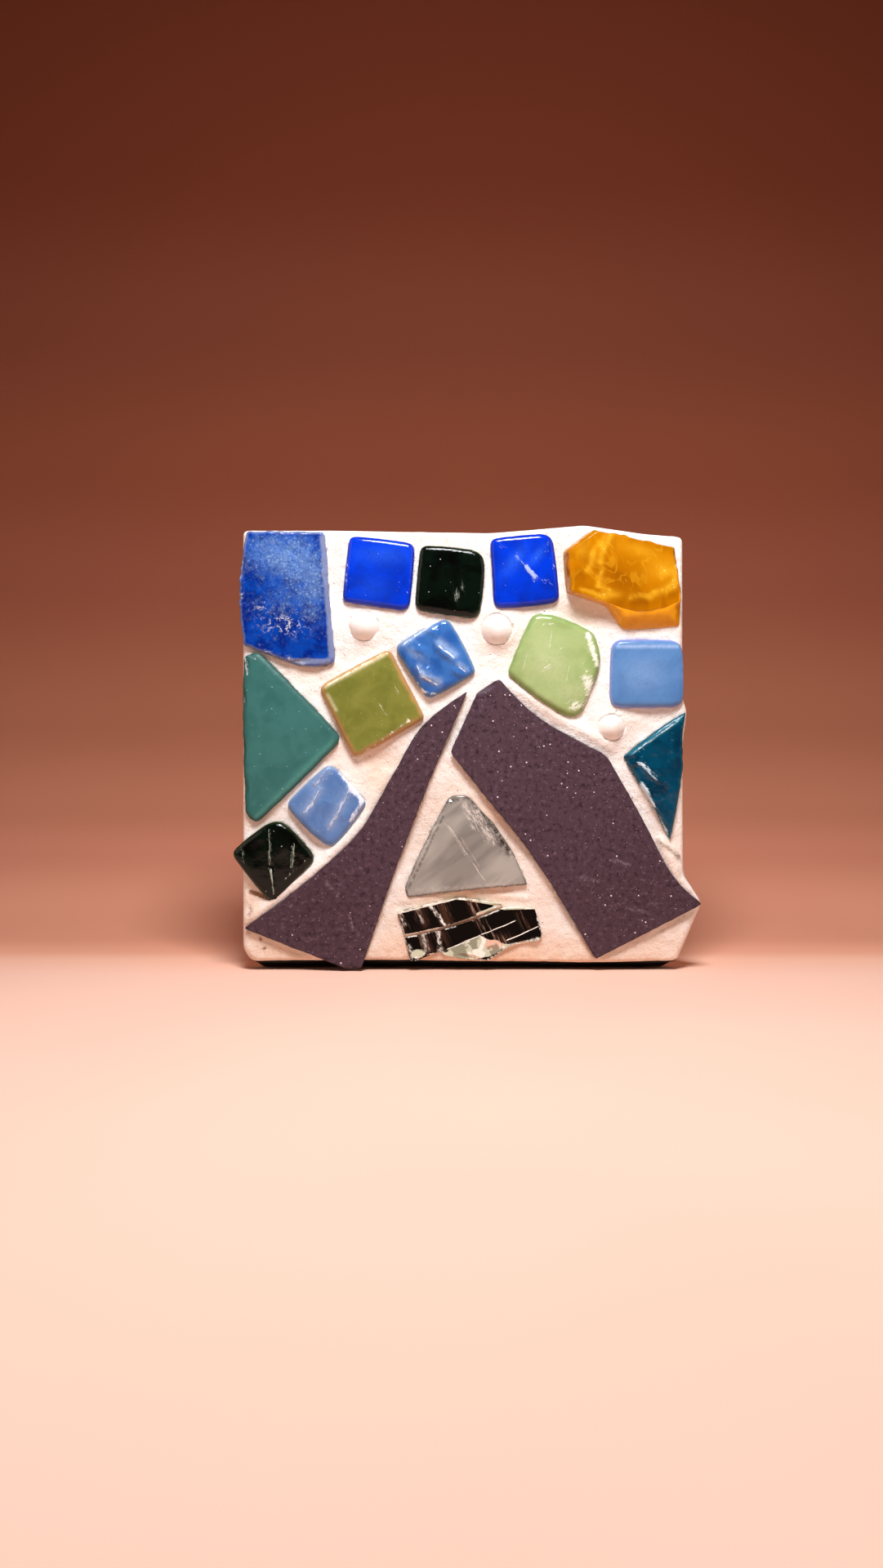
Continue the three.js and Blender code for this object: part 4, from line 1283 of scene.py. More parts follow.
@dataclass(frozen=True)
class Sky:
    """The glass tiles of the sky and of both sides."""

    tiles: tuple[Tile, ...] = (
        Tile(
            "speckled_blue_tile", Finish.SPECKLED, (0.6, 0.45), 0.15, 0.2, 0.16, (400, 52), 0.22,
            relief=marks(Grain(1.1, 3, 3, 0.05), Grain(5.0, 4, 1, 0.06)),
            chips=marks(
                Flake((-33.9, 61.5), (0.9, 2.2), 0.35), Flake((-34.0, 57.4), (0.7, 1.8), 0.3),
                Flake((-20.6, 54.0), (0.8, 4.5), 0.25, -6), Flake((-26.5, 46.6), (3.4, 0.6), 0.3, 8),
            ),
            tone=marks(
                Mound((-30.5, 63.5), (4.5, 3.2), 0.75), Mound((-25.0, 62.5), (4.5, 4.5), 0.85),
                Mound((-22.5, 57.0), (2.6, 4.5), 0.6), Mound((-28.0, 56.0), (4.0, 3.0), 0.45),
            ),
            scuffs=marks(
                Mound((-27.2, 52.6), (2.9, 1.5), 1.1), Mound((-30.6, 55.2), (1.4, 0.8), 0.6),
                Ridge((-33.9, 62.0), (-33.8, 56.0), 0.35), Ridge((-30.0, 48.4), (-24.0, 46.6), 0.3, 0.7),
            ),
            stain=marks(
                Ridge((-21.3, 65.6), (-20.7, 60.2), 0.75), Ridge((-20.7, 60.2), (-19.9, 48.0), 0.75),
                Ridge((-20.6, 46.9), (-26.0, 47.0), 0.6, 0.9),
            ),
        ),
        Tile(
            "cobalt_tile_left", Finish.COBALT,
            relief=marks(Grain(2.4, 11, 1, 0.04)),
            scuffs=marks(Ridge((-17.9, 62.5), (-18.0, 58.0), 0.6, 0.8), Mound((-9.0, 57.4), (1.2, 0.6), 0.5)),
            tone=marks(Mound((-12.5, 63.0), (4.5, 1.6), 0.35), Mound((-14.0, 58.0), (3.0, 2.0), 0.2)),
        ),
        Tile(
            "black_tile_top", Finish.BLACK,
            relief=marks(Grain(2.2, 12, 1, 0.05), Grain(0.8, 32, 2, 0.02)),
            scuffs=marks(
                Mound((-1.0, 57.6), (1.9, 2.4), 0.75, 15), Mound((-5.4, 59.0), (0.8, 2.0), 0.45),
                Mound((1.6, 61.4), (0.8, 1.2), 0.4),
            ),
        ),
        Tile(
            "cobalt_tile_right", Finish.COBALT,
            relief=marks(Grain(2.2, 13, 1, 0.05), Strayed(Ridge((8.7, 62.4), (10.8, 59.6), 0.4, 0.1))),
            scuffs=marks(
                Ridge((9.4, 61.2), (10.7, 59.8), 0.36, 0.85), Ridge((8.0, 62.8), (10.6, 59.4), 0.8, 0.7),
                Mound((5.8, 58.4), (1.0, 1.8), 0.6, 30), Mound((12.4, 59.2), (0.9, 1.5), 0.65, 30),
                Mound((5.8, 64.4), (1.3, 0.8), 0.5), Mound((12.4, 64.8), (1.4, 0.8), 0.6),
                Mound((13.6, 61.6), (0.4, 1.6), 0.6),
            ),
            tone=marks(Mound((7.6, 62.0), (2.6, 1.0), 0.5, 52), Mound((11.0, 62.8), (1.8, 0.7), 0.5, 50)),
        ),
        Tile(
            "rippled_blue_tile", Finish.RIPPLED, (0.9, 0.6), 0.35,
            relief=Strayed(marks(
                Mound((-2.6, 48.1), (2.1, 0.7), 0.5, -36), Mound((-5.4, 44.9), (2.2, 0.75), 0.5, -34),
                Mound((-0.9, 45.4), (1.0, 0.45), 0.25, -30),
                Mound((-7.0, 48.6), (2.0, 0.8), 0.25, -34), Mound((-4.6, 51.2), (1.6, 0.6), 0.2, -36),
                Grain(1.6, 14, 1, 0.06),
            ), 0.3, 1.6),
            # Painted highlights: the pale crescents on the ripples and the highlight along the upper left
            # edge.
            tone=Strayed(marks(
                Ridge((-9.2, 49.8), (-4.8, 52.7), 0.6, 0.6), Ridge((-3.7, 49.8), (-1.3, 47.9), 0.6, 0.6),
                Ridge((-6.8, 46.2), (-6.2, 44.9), 0.45, 0.45), Ridge((-6.2, 44.9), (-3.8, 43.8), 0.6, 0.6),
                Ridge((-0.7, 46.5), (0.4, 45.7), 0.4, 0.5), Mound((-7.4, 48.0), (1.8, 0.6), 0.35, -34),
            )),
            scuffs=marks(
                Ridge((-9.2, 46.6), (-6.2, 42.4), 0.35, 0.8), Ridge((-6.2, 42.4), (-4.0, 41.9), 0.35, 0.8),
                Ridge((-0.2, 47.2), (-1.9, 43.2), 0.3, 0.5),
            ),
        ),
        Tile(
            "olive_tile", Finish.OLIVE,
            relief=marks(Grain(2.6, 15, 1, 0.05)),
            # Painted highlight: the cream tone along the upper left and left edges.
            tone=marks(
                Ridge((-21.0, 43.3), (-11.9, 48.2), 0.4), Ridge((-20.6, 41.8), (-19.4, 39.6), 0.3, 0.5),
            ),
            scuffs=marks(
                Mound((-12.6, 39.8), (2.6, 1.8), 0.5, -50), Ridge((-16.2, 32.4), (-8.4, 37.9), 0.4, 0.85),
                Ridge((-8.4, 37.9), (-10.8, 44.4), 0.3, 0.6),
            ),
        ),
        Tile(
            "pale_green_tile", Finish.PALE_GREEN, (1.0, 0.75), 0.6, points=(320, 48),
            relief=marks(Grain(3.4, 16, 1, 0.08), Grain(1.2, 17, 1, 0.02)),
            tone=marks(Mound((12.6, 46.6), (3.6, 4.6), 0.7, 20), Mound((16.4, 42.4), (2.4, 1.6), 0.6)),
            scuffs=marks(
                Mound((18.8, 43.2), (1.3, 3.4), 1.0, 10), Mound((16.8, 40.2), (2.0, 1.0), 1.0),
                Ridge((10.8, 52.8), (13.6, 52.6), 0.4, 0.7), Ridge((18.6, 51.2), (20.2, 46.4), 0.6, 1.1),
                Ridge((8.0, 46.0), (7.4, 42.6), 0.3, 0.6), Mound((14.0, 46.5), (4.5, 5.5), 0.48),
            ),
        ),
        Tile(
            "sky_blue_tile", Finish.SKY,
            relief=marks(Grain(3.0, 18, 1, 0.04)),
            # Painted highlight: the lighter tone along the top edge, with a lighter patch in the middle.
            tone=marks(Ridge((23.2, 49.2), (32.2, 49.2), 0.3, 0.9), Mound((27.0, 45.0), (4.0, 3.0), 0.3)),
        ),
        Tile(
            "teal_triangle_tile", Finish.TEAL, (1.0, 0.6), 0.15, 0.25, 0.1, (384, 56),
            relief=marks(Grain(4.0, 19, 1, 0.04)),
            chips=marks(
                Flake((-33.2, 46.3), (0.9, 1.9), 0.4), Flake((-33.3, 41.0), (0.5, 1.6), 0.3),
                Flake((-33.4, 33.4), (0.5, 2.0), 0.3), Flake((-33.0, 27.6), (0.5, 1.5), 0.25),
            ),
            tone=marks(Ridge((-18.9, 35.6), (-31.3, 23.2), 0.55, 0.9)),
            scuffs=lines(
                0.35, 0.9, (-33.2, 47.6, -32.7, 45.0), (-32.4, 47.8, -31.6, 47.2), (-33.2, 41.4, -33.2, 40.6),
            ),
        ),
        Tile(
            "periwinkle_tile", Finish.PERIWINKLE,
            relief=marks(
                Grain(1.8, 20, 1, 0.05), Grain(0.6, 33, 2, 0.015),
                Strayed(marks(
                    Ridge((-20.2, 31.4), (-22.6, 28.4), 0.4, 0.12),
                    Ridge((-21.8, 27.6), (-24.0, 24.2), 0.4, 0.12),
                    Ridge((-16.8, 28.4), (-20.2, 22.2), 0.4, 0.12),
                )),
            ),
            tone=marks(
                Ridge((-20.2, 31.4), (-22.6, 28.4), 0.9, 0.6), Ridge((-21.8, 27.6), (-24.0, 24.2), 0.8, 0.6),
                Ridge((-16.8, 28.4), (-20.2, 22.2), 0.9, 0.6),
            ),
            scuffs=marks(
                Ridge((-20.2, 30.0), (-22.4, 28.4), 0.6, 0.75), Ridge((-22.0, 26.7), (-24.0, 24.2), 0.7, 0.8),
                Ridge((-17.4, 27.4), (-20.4, 21.8), 0.7, 0.75),
                Ridge((-18.6, 30.2), (-15.5, 26.0), 0.6, 1.25), Ridge((-15.6, 25.4), (-17.2, 22.8), 0.5, 1.0),
                Ridge((-24.6, 29.4), (-26.2, 26.8), 0.4, 0.7),
            ),
        ),
        Tile(
            "black_tile_left", Finish.BLACK, (1.1, 0.8), 0.45, taper=0.25,
            relief=marks(
                Grain(1.7, 21, 1, 0.07),
                Strayed(marks(
                    Ridge((-29.4, 21.2), (-29.2, 16.7), 0.3, 0.12),
                    Ridge((-29.0, 15.1), (-28.7, 12.3), 0.3, 0.12),
                    Ridge((-25.6, 19.1), (-25.8, 16.0), 0.3, 0.1),
                )),
            ),
            scuffs=marks(
                Ridge((-29.3, 21.4), (-29.3, 16.4), 0.3, 0.7),
                Ridge((-29.1, 15.4), (-28.8, 11.8), 0.26, 0.85),
                Ridge((-25.7, 19.4), (-26.0, 16.0), 0.45, 0.65),
                Ridge((-33.7, 18.9), (-33.2, 16.3), 0.4, 0.7),
                Ridge((-27.4, 22.4), (-24.4, 20.4), 0.3, 0.7), Ridge((-27.0, 14.0), (-24.0, 16.8), 0.3, 0.7),
                Mound((-27.6, 17.6), (2.6, 3.0), 0.3),
            ),
            stain=marks(Ridge((-32.6, 14.6), (-29.6, 11.4), 0.5, 0.9)),
        ),
        Tile(
            "petrol_wedge", Finish.PETROL, (0.7, 0.5), 0.3, 0.15, 0.12, (420, 56),
            relief=marks(
                Grain(1.7, 22, 1, 0.06), Grain(0.6, 34, 2, 0.02),
                Strayed(marks(
                    Ridge((26.4, 31.5), (29.1, 29.0), 0.4, 0.12),
                    Ridge((26.9, 28.6), (28.7, 24.9), 0.4, 0.12),
                )),
            ),
            chips=marks(Flake((30.8, 20.8), (0.7, 1.6), 0.3), Flake((25.0, 32.2), (1.0, 0.7), 0.25)),
            scuffs=marks(
                Ridge((26.6, 31.6), (29.0, 29.2), 0.7, 0.9), Ridge((27.0, 28.6), (28.6, 25.4), 0.5, 0.75),
                Ridge((26.6, 27.8), (30.6, 20.8), 0.7, 1.1), Mound((26.8, 33.6), (1.2, 0.7), 0.7, 35),
                Mound((31.4, 33.0), (1.2, 3.0), 0.4),
            ),
            # Painted highlight: the lighter tone along the upper left edge.
            tone=marks(Ridge((25.2, 33.0), (32.8, 38.4), 0.3, 0.9)),
        ),
    )  # fmt: skip
    beads: tuple[Bead, ...] = (Bead("white_bead_left"), Bead("white_bead_middle"), Bead("white_bead_right"))
    shard: AmberShard = AmberShard()

    def build(self, frame: dict) -> None:
        """Makes and dresses every piece of the sky."""
        for piece in (*self.tiles, self.shard, *self.beads):
            piece.build(frame)


@dataclass(frozen=True)
class Tent:
    """The tent: two flaps of cut porcelain, the grey glass of its opening and the two strips of mirror."""

    tiles: tuple[Tile, ...] = (
        Tile(
            "tent_flap_left", Finish.PORCELAIN, (0.14, 0.12), 0.0, 0.16, 0.1, (560, 58),
            relief=marks(Grain(3.0, 41, 1, 0.015)),
            chips=marks(
                Flake((-17.0, 0.4), (1.2, 0.5), 0.3), Flake((-33.0, 6.7), (0.9, 0.5), 0.3),
                Flake((-8.6, 34.4), (0.4, 0.9), 0.25),
            ),
            # Painted shade over the lower part of the flap.
            tone=marks(Mound((-22.0, 9.0), (9.0, 7.0), 0.9, 30)),
            scuffs=lines(0.16, 0.7, (-20.8, 13.4, -19.6, 12.2), (-17.4, 8.6, -16.8, 6.4)),
        ),
        Tile(
            "tent_flap_right", Finish.PORCELAIN, (0.14, 0.12), 0.0, 0.16, 0.1, (600, 62),
            relief=marks(Grain(3.0, 42, 1, 0.015)),
            chips=marks(
                Flake((3.4, 43.0), (1.9, 0.5), 0.35, 26), Flake((7.0, 42.9), (1.1, 0.45), 0.3, -38),
                Flake((35.6, 10.2), (0.8, 0.5), 0.3), Flake((19.4, 2.4), (0.8, 0.5), 0.3),
            ),
            # Painted shade over the lower part of the flap.
            tone=marks(Mound((25.0, 12.0), (8.5, 9.0), 0.8, -30)),
            scuffs=lines(
                0.2, 0.6, (17.6, 14.2, 20.4, 13.6), (22.0, 17.0, 25.0, 16.2), (24.6, 9.6, 27.6, 9.0),
            ),
        ),
        Tile(
            "grey_glass_triangle", Finish.GREY, (0.4, 0.25), 0.1, 0.2, 0.1, (360, 50),
            relief=marks(Grain(3.4, 43, 1, 0.04), lines(0.12, -0.05, (-2.4, 22.2, 3.0, 13.9))),
            chips=marks(
                Flake((4.6, 22.3), (0.6, 1.8), 0.25, 35), Flake((-2.0, 26.2), (0.9, 0.5), 0.25),
                Flake((-5.4, 20.0), (0.4, 1.5), 0.2, -28),
            ),
            scuffs=marks(
                Ridge((0.2, 25.2), (1.6, 22.0), 0.5, 0.8), Ridge((1.8, 24.4), (4.4, 19.6), 0.6, 0.9),
                Ridge((-6.6, 17.8), (-3.4, 24.0), 0.3, 0.4), Ridge((-8.4, 12.2), (8.6, 13.4), 0.3, 0.2),
            ),
            tone=marks(
                Ridge((1.2, 26.4), (6.8, 18.2), 0.8, 1.0), Ridge((-3.2, 25.4), (0.6, 26.6), 0.35, 0.9),
                Ridge((-8.6, 12.2), (-3.2, 23.4), 0.2, 0.7), Ridge((-8.0, 11.4), (9.2, 13.0), 0.15, 0.5),
            ),
        ),
        Tile(
            "mirror_strip_upper", Finish.MIRROR, (0.14, 0.1), 0.0, 0.1, 0.08, (380, 38),
            chips=marks(Flake((-9.6, 6.4), (0.7, 1.2), 0.25), Flake((5.2, 9.9), (1.2, 0.4), 0.25)),
            tone=marks(
                Ridge((-10.0, 9.0), (-0.8, 11.2), 0.32, 0.9), Ridge((-0.8, 11.1), (6.0, 10.0), 0.3, 0.9),
                Ridge((2.2, 8.6), (6.2, 10.1), 0.35, 1.0),
            ),
            scuffs=marks(
                Ridge((-5.2, 10.0), (-3.9, 8.4), 0.3, 0.95), Ridge((-3.9, 8.4), (-2.9, 7.0), 0.3, 0.9),
                Ridge((-9.6, 8.7), (-9.0, 7.0), 0.35, 0.6), Ridge((-6.9, 9.2), (-6.3, 7.4), 0.3, 0.5),
            ),
            stain=marks(
                Ridge((0.6, 11.0), (1.9, 8.0), 0.35), Ridge((1.6, 10.8), (2.8, 8.3), 0.25, 0.9),
                Ridge((-3.4, 10.4), (-2.4, 7.0), 0.8, 0.6), Ridge((-9.6, 8.4), (-8.8, 6.0), 0.5, 0.8),
                Ridge((-6.9, 9.4), (-6.2, 7.0), 0.7, 0.6),
            ),
        ),
        Tile(
            "mirror_strip_lower", Finish.MIRROR, (0.14, 0.1), 0.0, 0.1, 0.08, (420, 40),
            chips=marks(
                Flake((-5.4, 1.9), (1.8, 0.5), 0.3, 20), Flake((1.0, 2.0), (2.2, 0.5), 0.3, -12),
                Flake((9.4, 4.2), (1.5, 0.4), 0.3),
            ),
            tone=marks(
                Ridge((-1.6, 2.9), (2.6, 4.6), 0.8, 0.9), Mound((1.6, 2.9), (3.2, 1.2), 1.2, 14),
                Mound((4.2, 3.6), (1.4, 0.9), 1.2, 20), Mound((-7.0, 2.6), (1.5, 0.9), 0.85, 10),
                Ridge((6.0, 9.5), (10.6, 9.65), 0.3, 0.9), Ridge((6.2, 3.6), (11.6, 4.7), 0.42, 1.0),
                Ridge((11.6, 9.4), (11.9, 6.0), 0.22, 0.8), Ridge((-3.0, 2.4), (-1.0, 2.2), 0.4, 1.0),
            ),
            scuffs=marks(
                Ridge((7.2, 3.7), (11.2, 4.8), 0.35, 1.0), Mound((-3.4, 2.6), (0.7, 0.5), 1.1, -30),
                Ridge((-0.4, 1.9), (3.4, 1.6), 0.16, 0.9), Ridge((3.6, 1.7), (7.2, 4.0), 0.16, 0.9),
                Ridge((-8.6, 2.2), (-8.0, 1.5), 0.25, 0.8),
                Ridge((-3.9, 6.2), (-3.6, 3.4), 0.35, 0.85), Ridge((-6.2, 5.4), (-5.6, 3.2), 0.5, 0.55),
                Ridge((-8.3, 3.8), (-7.9, 2.2), 0.4, 0.6),
            ),
            stain=marks(
                Ridge((2.2, 7.6), (3.6, 5.0), 0.4), Ridge((3.3, 7.8), (4.4, 5.4), 0.25, 0.9),
                Ridge((8.6, 8.8), (9.6, 6.8), 0.5, 0.7), Ridge((-6.6, 5.6), (-5.6, 3.4), 0.9, 0.65),
                Ridge((-3.6, 5.4), (-3.2, 3.6), 0.8, 0.7), Mound((4.8, 4.2), (1.7, 0.9), 1.2, 20),
            ),
        ),
    )  # fmt: skip

    def build(self, frame: dict) -> None:
        """Makes and dresses the tent's pieces."""
        for tile in self.tiles:
            tile.build(frame)


@dataclass(frozen=True)
class GroutBlock:
    """The cast block: a hand-worked face over a plain square body, with a bed under every piece.

    Attributes:
        per_side: Cells of the face's lattice along each side.
        face_sides: The face's outline as bottom, right, top and left side, each from its first corner on.
        body_sides: The body's outline, corner for corner.
        softening: How far the outline is softened, in steps between its points.
        lip: Width of the face's rounded edge.
        lip_start: Y at which the rounded edge begins.
        back_rounding: Radius of the back's edges.
        side_wear: How far the sides are worn in at most.
        highest: How far the face stands out at most.
        bed_inset: How far inside a piece's outline its bed begins.
        ridges: Ridges of grout pushed up beside the tent.
        hollows: Hollows pressed into the face.
        lumps: Unevenness left by the trowel and a fingertip.
        warm_stain_and_shade: Where the grout is stained a warm sand colour, and where warm shade is painted
            in the hollows, inside the tent and along the bottom.
        stains_and_crease_shade: Where soiling has settled, and where shade is painted in a crevice, two pits
            and creases.
    """

    per_side: int = 220
    face_sides: tuple[tuple[Point, ...], ...] = (
        ((-32.5, 1.2), (-16.3, 1.4), (0.0, 1.2), (16.3, 1.0), (32.6, 1.2)),
        (
            (32.6, 1.2), (33.8, 4.0), (36.4, 10.2), (33.6, 14.5), (33.5, 34.0), (34.2, 39.6), (33.5, 41.5),
            (33.5, 66.2),
        ),
        ((33.5, 66.2), (27.5, 66.7), (18.5, 68.0), (4.0, 66.8), (-20.0, 67.2), (-33.8, 67.2)),
        ((-33.8, 67.2), (-33.8, 3.2), (-32.5, 1.2)),
    )
    body_sides: tuple[tuple[Point, ...], ...] = (
        ((-31.5, 0.0), (-16.3, 0.0), (0.0, 0.0), (16.3, 0.0), (31.5, 0.0)),
        (
            (31.5, 0.0), (33.6, 4.0), (33.6, 10.2), (33.6, 14.5), (33.6, 34.0), (33.6, 39.6), (33.6, 41.5),
            (33.6, 67.0),
        ),
        ((33.6, 67.0), (27.5, 67.0), (18.5, 67.0), (4.0, 67.0), (-20.0, 67.0), (-33.6, 67.0)),
        ((-33.6, 67.0), (-33.6, 3.2), (-31.5, 0.0)),
    )
    softening: float = 2.0
    lip: float = 0.75
    lip_start: float = -6.95
    back_rounding: float = 0.9
    side_wear: float = 0.16
    highest: float = 0.95
    bed_inset: float = 0.36
    ridges: tuple[Ridge, ...] = (
        Ridge((-33.0, 7.6), (-21.5, 16.4), 1.0, 0.75), Ridge((-21.5, 16.4), (-15.6, 22.6), 1.0, 0.75),
        Ridge((-15.6, 22.6), (-11.6, 29.8), 1.0, 0.6),
        Ridge((7.2, 43.4), (13.8, 38.8), 1.1, 0.6), Ridge((13.8, 38.8), (22.2, 34.2), 1.1, 0.6),
        Ridge((30.2, 19.4), (33.2, 13.6), 1.0, 0.8), Ridge((33.2, 13.6), (36.0, 10.8), 1.0, 0.8),
        Ridge((-9.0, 10.6), (-1.0, 11.9), 0.6, 0.3), Ridge((-1.0, 11.9), (9.4, 11.0), 0.6, 0.3),
    )  # fmt: skip
    hollows: tuple[Mound, ...] = (
        Mound((17.6, 53.4), (3.0, 2.2), -0.6), Mound((1.0, 14.0), (14.0, 12.0), -0.5),
        Mound((-12.5, 30.0), (3.5, 4.0), -0.4),
    )
    lumps: Field = marks(
        Grain(3.2, 51, 2, 0.1), Grain(0.9, 52, 3, 0.045), Mound((27.4, 50.9), (2.6, 0.7), 0.35),
        Mound((-20.6, 51.6), (1.6, 2.4), 0.14), Mound((-3.6, 10.6), (2.4, 0.5), 0.1),
        Mound((12.8, 52.9), (2.2, 0.7), 0.2),
        Mound((-15.2, 52.4), (3.5, 3.3), 0.6), Mound((5.0, 51.9), (3.6, 3.5), 0.6),
        Mound((22.4, 37.0), (3.1, 3.0), 0.5),
    )  # fmt: skip
    # Painted warm shade in the hollows, inside the tent and along the bottom; warm stains beside the soiling
    # at the sides.
    warm_stain_and_shade: Field = marks(
        Mound((1.0, 16.0), (9.0, 13.0), 0.9), Mound((0.0, 0.0), (60.0, 6.5), 0.9),
        Mound((-13.0, 31.0), (5.5, 6.5), 0.6), Mound((17.0, 53.6), (3.6, 2.2), 0.35),
        Mound((5.0, 50.5), (2.6, 1.6), 0.35), Mound((-32.0, 10.0), (3.0, 4.0), 0.6),
        Mound((31.0, 18.0), (3.0, 4.0), 0.5), Mound((-26.0, 47.0), (6.0, 3.0), 0.25),
    )  # fmt: skip
    # Soiling, and painted shade: the crevice under the black tile, the two pits below it and the creases at
    # the right.
    stains_and_crease_shade: Field = marks(
        Ridge((-32.4, 12.0), (-29.6, 11.0), 0.45, 0.85), Mound((-30.9, 4.8), (0.4, 0.6), 0.7, 20),
        Mound((-30.3, 3.4), (0.6, 0.35), 0.7, 30),
        Ridge((-32.4, 9.8), (-32.6, 6.0), 0.9, 0.42), Ridge((29.4, 19.8), (32.6, 17.4), 0.7, 0.5),
        Ridge((28.6, 4.8), (33.6, 8.4), 0.7, 0.36), Mound((32.6, 14.6), (0.8, 2.6), 0.4),
        Mound((34.2, 41.0), (0.8, 1.6), 0.5), Mound((22.0, 67.6), (5.0, 0.6), 0.45),
        Ridge((-33.0, 1.8), (33.0, 1.6), 0.4, 0.2),
    )  # fmt: skip

    def ring(self, share: float, inset: float | Array = 0.0) -> Array:
        """The block's outline between its face and its body.

        Both outlines are read at the same shares of the face's own length, blended, softened over about
        half a millimetre, and shrunk about the block's middle.

        Args:
            share: 0 for the face and 1 for the body.
            inset: How far it is drawn in, in millimetres.

        Returns:
            Four times per_side points as complex numbers, anticlockwise from the lower left corner.
        """
        sides = []
        for face, body in zip(self.face_sides, self.body_sides):
            a, b = (np.array([complex(*p) for p in side]) for side in (face, body))
            length = np.concatenate([[0], np.cumsum(np.abs(np.diff(a)))])
            at = np.linspace(0, length[-1], self.per_side, endpoint=False)
            line = (1 - share) * a + share * b
            sides.append(np.interp(at, length, line.real) + 1j * np.interp(at, length, line.imag))
        line = softened(np.concatenate(sides), self.softening)
        return BLOCK_MIDDLE + (line - BLOCK_MIDDLE) * (1 - inset / BLOCK_HALF_WIDTH)

    def rise(self, x: Array, z: Array) -> Array:
        """How far the grout stands out at its face: waves, the highest ridge, the hollows and the lumps."""
        waves = 0.12 * np.sin(0.33 * x + 1.1) * np.cos(0.29 * z) + 0.08 * np.sin(0.5 * z)
        ridge = np.max([r(x, z) for r in self.ridges], axis=0)
        hollow = np.sum([h(x, z) for h in self.hollows], axis=0)
        return np.minimum(waves + ridge + hollow, 0.85) + self.lumps(x, z)

    def beds(self, frame: dict, x: Array, z: Array) -> tuple[Array, Array]:
        """The beds of the pieces in the lattice.

        Args:
            x: X of the lattice's points.
            z: Z of the lattice's points.

        Returns:
            The distance from the nearest piece, and the bed's Y inside a piece or NaN elsewhere.
        """
        gap, bed = (np.full(x.shape, 9.0), np.full(x.shape, np.nan))
        for name, node in frame["nodes"].items():
            if name == "grout_block":
                continue
            low, high = (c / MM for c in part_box(name))
            near = (x > low.x - 2) & (x < high.x + 2) & (z > low.z - 2) & (z < high.z + 2)
            inside = Outline.of_node(node, 200, 0.2).inside(x[near], z[near])
            gap[near] = np.minimum(gap[near], -inside)
            bed[near] = np.where(inside > self.bed_inset, high.y + 0.1, bed[near])
        return gap, bed

    def rows(self) -> Array:
        """Rows of points from the middle of the back, over its edge and along the sides to the face's lip."""
        round_back = np.linspace(math.pi / 2, 0, 6)
        profile = [(BLOCK_BACK, BLOCK_HALF_WIDTH * (1 - s), 1.0) for s in (0.04, 0.2, 0.4, 0.6, 0.8, 0.93)]
        radius = self.back_rounding
        profile += [(
            BLOCK_BACK - radius * (1 - math.sin(a)), radius * (1 - math.cos(a)), 1.0,
        ) for a in round_back]
        profile += [(y, 0.0, 1.0) for y in np.linspace(6.6, -4.2, 13)]
        share_at = ([-7.73, -7.05, -5.4, -4.2], [0.0, 0.04, 0.4, 1.0])
        profile += [(y, 0.0, float(np.interp(y, *share_at))) for y in np.linspace(-4.6, -6.9, 7)]
        rows = []
        for y, inset, share in profile:
            line = self.ring(share)
            uneven = 0.5 + 0.5 * Grain(2.6, 61, 3)(line.real + 0.8 * y, line.imag + 1.1 * y)
            flat = self.ring(share, inset + self.side_wear * np.clip(uneven, 0, 1))
            flat = flat.real + 1j * np.clip(flat.imag, 0.0, None)
            dent = 0.06 * np.clip(
                0.5 + 0.5 * Grain(3.0, 62, 3)(flat.real, flat.imag), 0, 1,
            ) if y == BLOCK_BACK else 0.0
            rows.append(np.stack([flat.real, np.full(flat.shape, y) - dent, flat.imag], axis=-1))
        for a in np.linspace(0.12, 1, 8) * math.pi / 2:
            flat = self.ring(0.0, self.lip * (1 - math.cos(a)) + 0.08)
            front = GROUT_FACE - self.rise(flat.real, flat.imag)
            rows.append(np.stack(
                [flat.real, self.lip_start + (front - self.lip_start) * math.sin(a), flat.imag], axis=-1,
            ))
        return np.array(rows)

    def lattice(self, ring: Array) -> Array:
        """The face's places inside its last row, as a patch stretched between that row's four sides.

        The place at shares (u, v) is (1 - v) bottom(u) + v top(u) + (1 - u) left(v) + u right(v), less
        the same blend of the four corners.

        Args:
            ring: The last row as complex numbers.

        Returns:
            (per_side + 1) squared places, from the lower left corner.
        """
        n = self.per_side
        bottom, right = (ring[: n + 1], ring[n : 2 * n + 1])
        top, left = (ring[2 * n : 3 * n + 1][::-1], np.append(ring[3 * n :], ring[0])[::-1])
        u = np.linspace(0, 1, n + 1)[None, :]
        v = u.T
        corners = (1 - u) * (1 - v) * bottom[0] + u * (1 - v) * bottom[-1]
        corners = corners + (1 - u) * v * top[0] + u * v * top[-1]
        return (1 - v) * bottom + v * top + (1 - u) * left[:, None] + u * right[:, None] - corners

